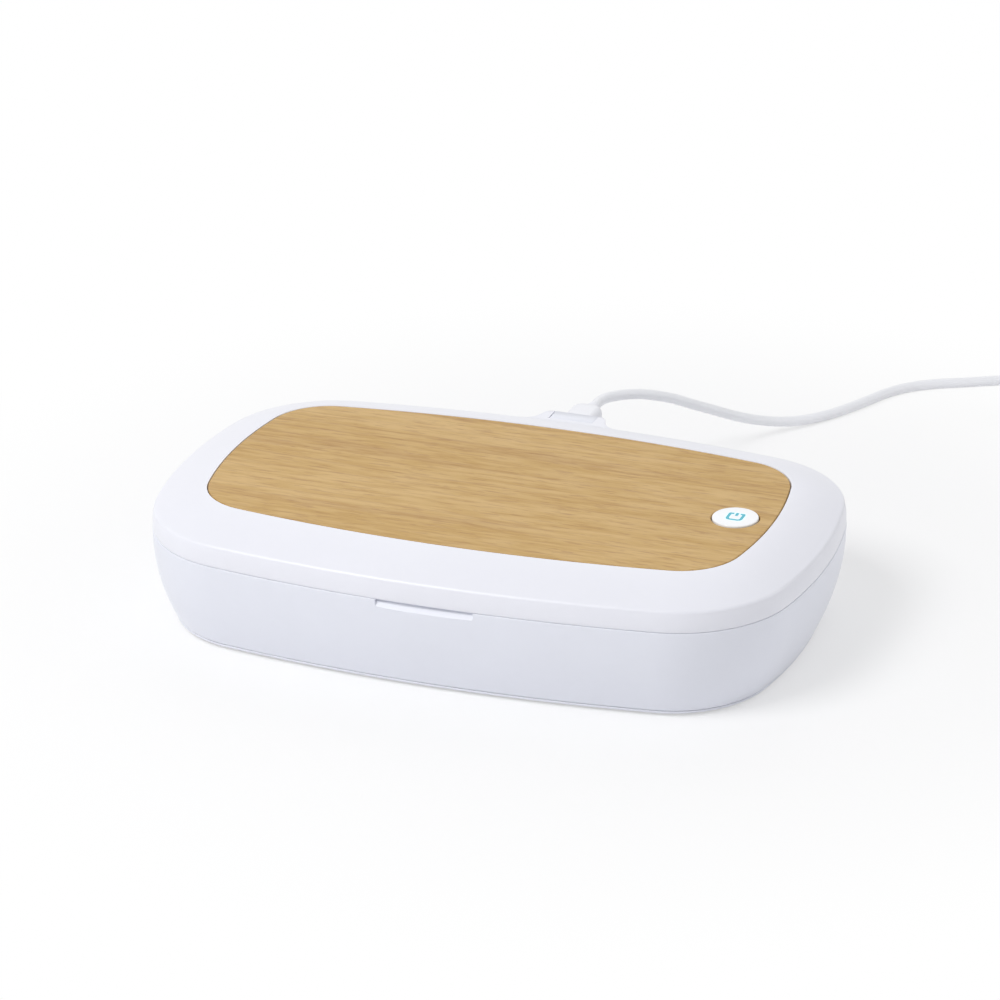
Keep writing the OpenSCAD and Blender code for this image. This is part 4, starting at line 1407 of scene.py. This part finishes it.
    def _relief(self, name: str, length: float, r0: float, at: Point) -> Piece:
        """Builds a tapered sleeve with rounded ribs, along +Y.

        Args:
            name: Name of the piece.
            length: Its length.
            r0: Radius at the plug.
            at: Middle of the end at the plug.

        Returns:
            The new object.
        """
        r1, steps, sides, ribs, groove = self.diameter / 2 + self.relief_gap, 97, 64, 3, 0.25
        profile = [(0.0, 0.0), (r0, 0.0)]
        for t in ((i + 0.5) / steps for i in range(steps)):
            profile.append((r0 + (r1 - r0) * t - sin(ribs * pi * t) ** 2 * groove, length * t))
        rings = []
        for r, y in [*profile, (r1, length), (0.0, length)]:
            places = (around(r, -TURN * k / sides, (at[0], at[2])) for k in range(sides))
            rings.append([(x, at[1] + y, z) for x, z in places])
        return loft(name, rings, sharp=50)

    def _band(self, name: str, line: Sequence[Flat], closed: bool, crown: float) -> Piece:
        """Builds a length of the strap along a line, sinking between the turns where it lies on them.

        Args:
            name: Name of the piece.
            line: Points as distance from the coil's middle and height.
            closed: True joins its end to its start.
            crown: Height above which it lies on the coil.

        Returns:
            The new object.
        """
        thick, half, step, sag = self.strap_t, self.strap_w / 2, 0.6, 0.14
        inner, outer = self.strap_from - thick / 2, self.strap_to + thick / 2
        dense: list[Flat] = []
        for (u, z), (nu, nz) in zip(line, [*line[1:], line[0]] if closed else line[1:]):
            count = max(1, round(dist((u, z), (nu, nz)) / step))
            dense += [(u + (nu - u) * k / count, z + (nz - z) * k / count) for k in range(count)]
        if not closed:
            dense.append(line[-1])
        before = [dense[-1] if closed else dense[0], *dense[:-1]]
        after = [*dense[1:], dense[0] if closed else dense[-1]]
        sides = [(-half, -0.3), (-half + 0.2, -1), (half - 0.2, -1), (half, -0.3)]
        sides += [(-v, -t) for v, t in sides]
        turn, rings = radians(self.strap_turn), []
        for (u, z), back, ahead in zip(dense, before, after):
            along = Vector((ahead[0] - back[0], ahead[1] - back[1])).normalized()
            if z > crown and inner + 1 < u < outer - 1:
                z -= sag * (1 - cos(TURN * (u - inner) / self.pitch))
            ring = []
            for v, t in sides:
                out, up = u - along.y * t * thick / 2, z + along.x * t * thick / 2
                x = self.coil_at[0] + out * cos(turn) - v * sin(turn)
                ring.append((x, self.coil_at[1] + out * sin(turn) + v * cos(turn), up))
            rings.append(ring)
        return loft(name, rings, closed=closed, sharp=50)

    def strap(self) -> Piece:
        """Builds the soft strap round the coil: a loop, and its lapped end.

        Returns:
            The new object.
        """
        thick, corner, start = self.strap_t, 1.6, 16
        inner, outer = self.strap_from - thick / 2, self.strap_to + thick / 2
        high = self.low + self.climb + self.diameter / 2 + 0.1 + thick / 2
        places = ((outer, thick / 2), (outer, high), (inner, high), (inner, thick / 2))
        corners = [(*place, corner) for place in places]
        loop = soften([(start, thick / 2, 0), *corners, (start, thick / 2, 0)])
        lap = [(inner + 3 + 9 * i / 10, high + thick * min(1.02, 0.6 + 0.2 * i)) for i in range(11)]
        piece = self._band("coil_strap", loop[:-1], True, high - 0.1)
        combine(piece, self._band("lap", lap, False, high - 0.1), Joining.ADD, 50)
        return piece

    def contacts(self) -> Piece:
        """Builds the four gilded contact strips on the far plug's tongue.

        Returns:
            The new object.
        """
        sides = ((0, 2, 3, 1), (4, 5, 7, 6), (0, 1, 5, 4), (2, 6, 7, 3), (0, 4, 6, 2), (1, 3, 7, 5))
        half, low, high, end, outer, inner = 0.5, -0.02, 0.07, 10.6, 1.5, 2.4
        mouth = self.far_y - self.far_relief_l - self.far_size[2] - self.shell_l
        points: list[Point] = []
        faces: list[Sequence[int]] = []
        for across, start in ((-3.5, outer), (-1.0, inner), (1.0, inner), (3.5, outer)):
            x = self.exit_x + across
            faces += [tuple(len(points) + corner for corner in side) for side in sides]
            for z in (low, high):
                points += [(x + sx * half, mouth + y, self.end_z + z) for y in (start, end) for sx in (-1, 1)]
        piece = mesh_piece("far_plug_contacts", points, faces)
        round_edges(piece, 0.03)
        return piece

    def build(self) -> None:
        """Makes and hands over the cord and what is on it."""
        shop, paint, long = self.shop, self.shop.palette, self.plug_size[2]
        cord, length = self.cord()
        shop.hand_over(cord, Body.BASE, paint.cord, Slot.CORD, "cord_run", "cord_coil")
        near_at = (0, self.plug_y + long, shop.heights.hinge_z)
        far_at = (self.exit_x, self.far_y - self.far_relief_l, self.end_z)
        grip = self.near_grip()
        near = self._relief("near_relief", self.relief_l, self.relief_r, near_at)
        far = self._relief("far_sleeve", self.far_relief_l, self.far_relief_r, far_at)
        on_it: list[Piece | str] = []
        for piece, node in (
            (grip, "plug_body"),
            (near, "strain_relief"),
            (far, "far_relief"),
            (self.far_grip(), "far_plug_body"),
        ):
            on_it.append(shop.hand_over(piece, Body.BASE, paint.grip, Slot.CORD, node))
        on_it.append(shop.hand_over(self.contacts(), Body.BASE, paint.gold, Slot.CORD))
        on_it += ["plug_nose", "far_plug_shell", "far_plug_tongue"]
        on_it.append(shop.hand_over(self.strap(), Body.BASE, paint.rubber, Slot.RUBBER, "coil_tie"))
        tuple(c * MM for c in self.route[0])
        LOG.info("supply cord: %.3f m", length)


class Interior:
    """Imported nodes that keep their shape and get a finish."""

    def __init__(self, shop: Workshop) -> None:
        """Keeps the workshop and makes the group for even shading."""
        self.shop = shop
        self.even = self._even_shading()

    def _even_shading(self, keen: float = 32) -> Tree:
        """Builds a geometry group that joins doubled points and shades evenly.

        Args:
            keen: Edges that turn more than this many degrees are shaded sharp.

        Returns:
            The group.
        """
        tree = bpy.data.node_groups.new("even_shading", "GeometryNodeTree")
        for way in ("INPUT", "OUTPUT"):
            tree.interface.new_socket("Geometry", in_out=way, socket_type="NodeSocketGeometry")
        hand = Nodes(tree)
        given, out = hand.add("NodeGroupInput"), hand.add("NodeGroupOutput")
        merged = hand.add("GeometryNodeMergeByDistance", {"Geometry": given.outputs[0], "Distance": 1e-6})
        smooth = {"Geometry": merged.outputs[0], "Shade Smooth": True}
        faces = hand.add("GeometryNodeSetShadeSmooth", smooth, domain="FACE")
        angle = hand.add("GeometryNodeInputMeshEdgeAngle").outputs["Unsigned Angle"]
        turned = hand.add("FunctionNodeCompare", {0: angle, 1: radians(keen)}, operation="GREATER_THAN")
        sharp = {"Geometry": faces.outputs[0], "Selection": turned.outputs[0], "Shade Smooth": False}
        edges = hand.add("GeometryNodeSetShadeSmooth", sharp, domain="EDGE")
        hand.feed(out, {0: edges.outputs[0]})
        return tree

    def _dress(self, node: str, material: Material) -> None:
        """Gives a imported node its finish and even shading.

        Args:
            node: Name of the node.
            material: Its finish.
        """
        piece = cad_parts[node]
        for place in piece.material_slots:
            place.link = "OBJECT"
            place.material = material
        if not piece.material_slots:
            piece.data.materials.append(material)
        piece.modifiers.new("even_shading", "NODES").node_group = self.even
        LOG.info("%s keeps its shape, in %s", node, material.name)

    def build(self) -> None:
        """Dresses every node that no new piece stands for."""
        paint = self.shop.palette
        screws = ("bottom_screws", "board_screws", "lid_screws", "lid_board_screws")
        for material, nodes in (
            (paint.steel, (*screws, "hinge_pins", "tact_switch")),
            (paint.liner, ("liner_tray", "inner_cover")),
            (paint.quartz, ("lower_windows", "upper_windows")),
            (paint.lamp, ("lower_uv_leds", "upper_uv_leds", "status_leds")),
            (paint.board, ("base_board", "port_board", "upper_led_boards", "lid_board")),
            (paint.shell, ("usb_receptacle", "plug_nose", "far_plug_shell")),
            (paint.nickel, ("base_magnets", "lid_magnets")),
            (paint.black, ("lid_sensor", "switch_plunger", "far_plug_tongue")),
            (paint.bumper, ("lid_bumpers", "lid_seal")),
            (paint.rubber, ("rubber_feet",)),
            (paint.film, ("plate_adhesive",)),
            (paint.copper, ("charging_coil",)),
            (paint.ferrite, ("ferrite_sheet",)),
        ):
            for node in nodes:
                self._dress(node, material)


# ---------- the studio ----------


@dataclass(frozen=True)
class Lamp:
    """Soft square lamp that faces the box: place and width in millimetres, power in watts."""

    name: str
    at: Point
    size: float
    power: float

    def hang(self, look_at: Point) -> None:
        """Hangs the lamp.

        Args:
            look_at: The point that it faces.
        """
        data = bpy.data.lights.new(self.name, "AREA")
        data.size, data.energy = self.size * MM, self.power
        lamp = bpy.data.objects.new(self.name, data)
        lamp.location = Vector(self.at) * MM
        lamp.rotation_euler = (Vector(self.at) - Vector(look_at)).to_track_quat("Z", "Y").to_euler()
        bpy.context.scene.collection.objects.link(lamp)


@dataclass
class Studio:
    """Pale floor, soft light and the camera at the picture's angle.

    The focal length and the picture's width are in pixels, the other sizes in millimetres.
    """

    azimuth: float = 20.545
    elevation: float = 24.556
    roll: float = -0.7224
    distance: float = 1548.97
    focal: float = 4889.49
    picture: float = 1000.0
    sensor: float = 36.0
    look_at: Point = (0.0, -4.0, 24.6)
    shift: Flat = (0.00054, 0.03801)
    sky: float = 0.50
    sky_colour: Colour = (0.98, 0.985, 1.0)
    floor_colour: Colour = (0.94, 0.94, 0.945)
    floor_half: float = 6000.0
    floor_drop: float = 0.02
    lamps: tuple[Lamp, ...] = (
        Lamp("key_lamp", (-560, -750, 1240), 700, 12.7),
        Lamp("end_lamp", (1500, 700, 520), 1000, 3.8),
        Lamp("rear_lamp", (-500, 1500, 1200), 1200, 3),
    )

    def camera(self) -> None:
        """Makes the camera, turned about its own axis by the roll."""
        a, e, roll = (radians(v) for v in (self.azimuth, self.elevation, self.roll))
        back = Vector((sin(a) * cos(e), -cos(a) * cos(e), sin(e)))
        right = Vector((0, 0, 1)).cross(back).normalized()
        up = back.cross(right)
        x_axis = right * cos(roll) + up * sin(roll)
        y_axis = up * cos(roll) - right * sin(roll)
        lens = bpy.data.cameras.new("picture_camera")
        lens.sensor_width = self.sensor
        lens.lens = self.focal * self.sensor / self.picture
        lens.shift_x, lens.shift_y = self.shift
        lens.clip_start, lens.clip_end = 0.05, 50
        camera = bpy.data.objects.new("picture_camera", lens)
        place = (Vector(self.look_at) + back * self.distance) * MM
        camera.matrix_world = Matrix.Translation(place) @ Matrix((x_axis, y_axis, back)).transposed().to_4x4()
        bpy.context.scene.collection.objects.link(camera)
        bpy.context.scene.camera = camera

    def _seen(self, hand: Nodes) -> Socket:
        """Tells the rays that see the background.

        Args:
            hand: Builder of the tree.

        Returns:
            A socket that is 1 for rays from the camera, a reflection or through glass.
        """
        path = hand.add("ShaderNodeLightPath").outputs
        either = hand.maths("MAXIMUM", path["Is Camera Ray"], path["Is Glossy Ray"])
        return hand.maths("MAXIMUM", either, path["Is Transmission Ray"])

    def floor(self) -> None:
        """Makes the pale floor, which fades to the white of the background away from the box."""
        half = self.floor_half
        corners = [(-half, -half, 0), (half, -half, 0), (half, half, 0), (-half, half, 0)]
        piece = mesh_piece("studio_floor", corners, [(0, 1, 2, 3)])
        piece.location.z = -self.floor_drop * MM
        material = bpy.data.materials.new("studio_floor")
        material.use_nodes = True
        material.node_tree.nodes.clear()
        hand = Nodes(material.node_tree)
        matt = {"Base Color": (*self.floor_colour, 1), "Roughness": 0.75, "Specular IOR Level": 0.2}
        shader = hand.add("ShaderNodeBsdfPrincipled", matt)
        white = hand.add("ShaderNodeEmission", {"Color": (1, 1, 1, 1), "Strength": 1.0})
        from_box = hand.scaled(hand.own(), (1, 1, 0), (-0.02, -0.02, 0))
        far = hand.add("ShaderNodeVectorMath", {0: from_box}, operation="LENGTH").outputs["Value"]
        near, wide, least = 0.10, 0.26, 0.47
        fade = hand.maths("MULTIPLY", hand.ramp(far, near, wide, least, 1.0), self._seen(hand))
        mixed = hand.add("ShaderNodeMixShader", {0: fade, 1: shader.outputs[0], 2: white.outputs[0]})
        hand.add("ShaderNodeOutputMaterial", {"Surface": mixed.outputs[0]})
        piece.data.materials.append(material)

    def world(self) -> None:
        """Makes the sky: even soft light, and white where it is seen."""
        world = bpy.data.worlds.new("studio_world")
        world.use_nodes = True
        world.node_tree.nodes.clear()
        hand = Nodes(world.node_tree)
        light = hand.add("ShaderNodeBackground", {"Color": (*self.sky_colour, 1), "Strength": self.sky})
        white = hand.add("ShaderNodeBackground", {"Color": (1, 1, 1, 1), "Strength": 1.0})
        shaders = {0: self._seen(hand), 1: light.outputs[0], 2: white.outputs[0]}
        mixed = hand.add("ShaderNodeMixShader", shaders)
        hand.add("ShaderNodeOutputWorld", {"Surface": mixed.outputs[0]})
        bpy.context.scene.world = world

    def build(self) -> None:
        """Sets up the whole studio."""
        self.camera()
        self.floor()
        self.world()
        for lamp in self.lamps:
            lamp.hang(self.look_at)
        bpy.context.scene.view_settings.view_transform = "Standard"


def main() -> None:
    """Builds the box, piece by piece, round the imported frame."""
    logging.basicConfig(level=logging.INFO, format="%(name)s: %(message)s")
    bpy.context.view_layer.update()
    Studio().build()
    button_at = (78.2, -4.0)
    shop = Workshop(Outline(), Heights(), Palette(Effects(), button_at))
    SupplyCord(shop).build()
    BaseHousing(shop).build()
    Lid(shop, button_at).build()
    StartButton(shop, button_at).build()
    Interior(shop).build()


if __name__ == "__main__":
    main()
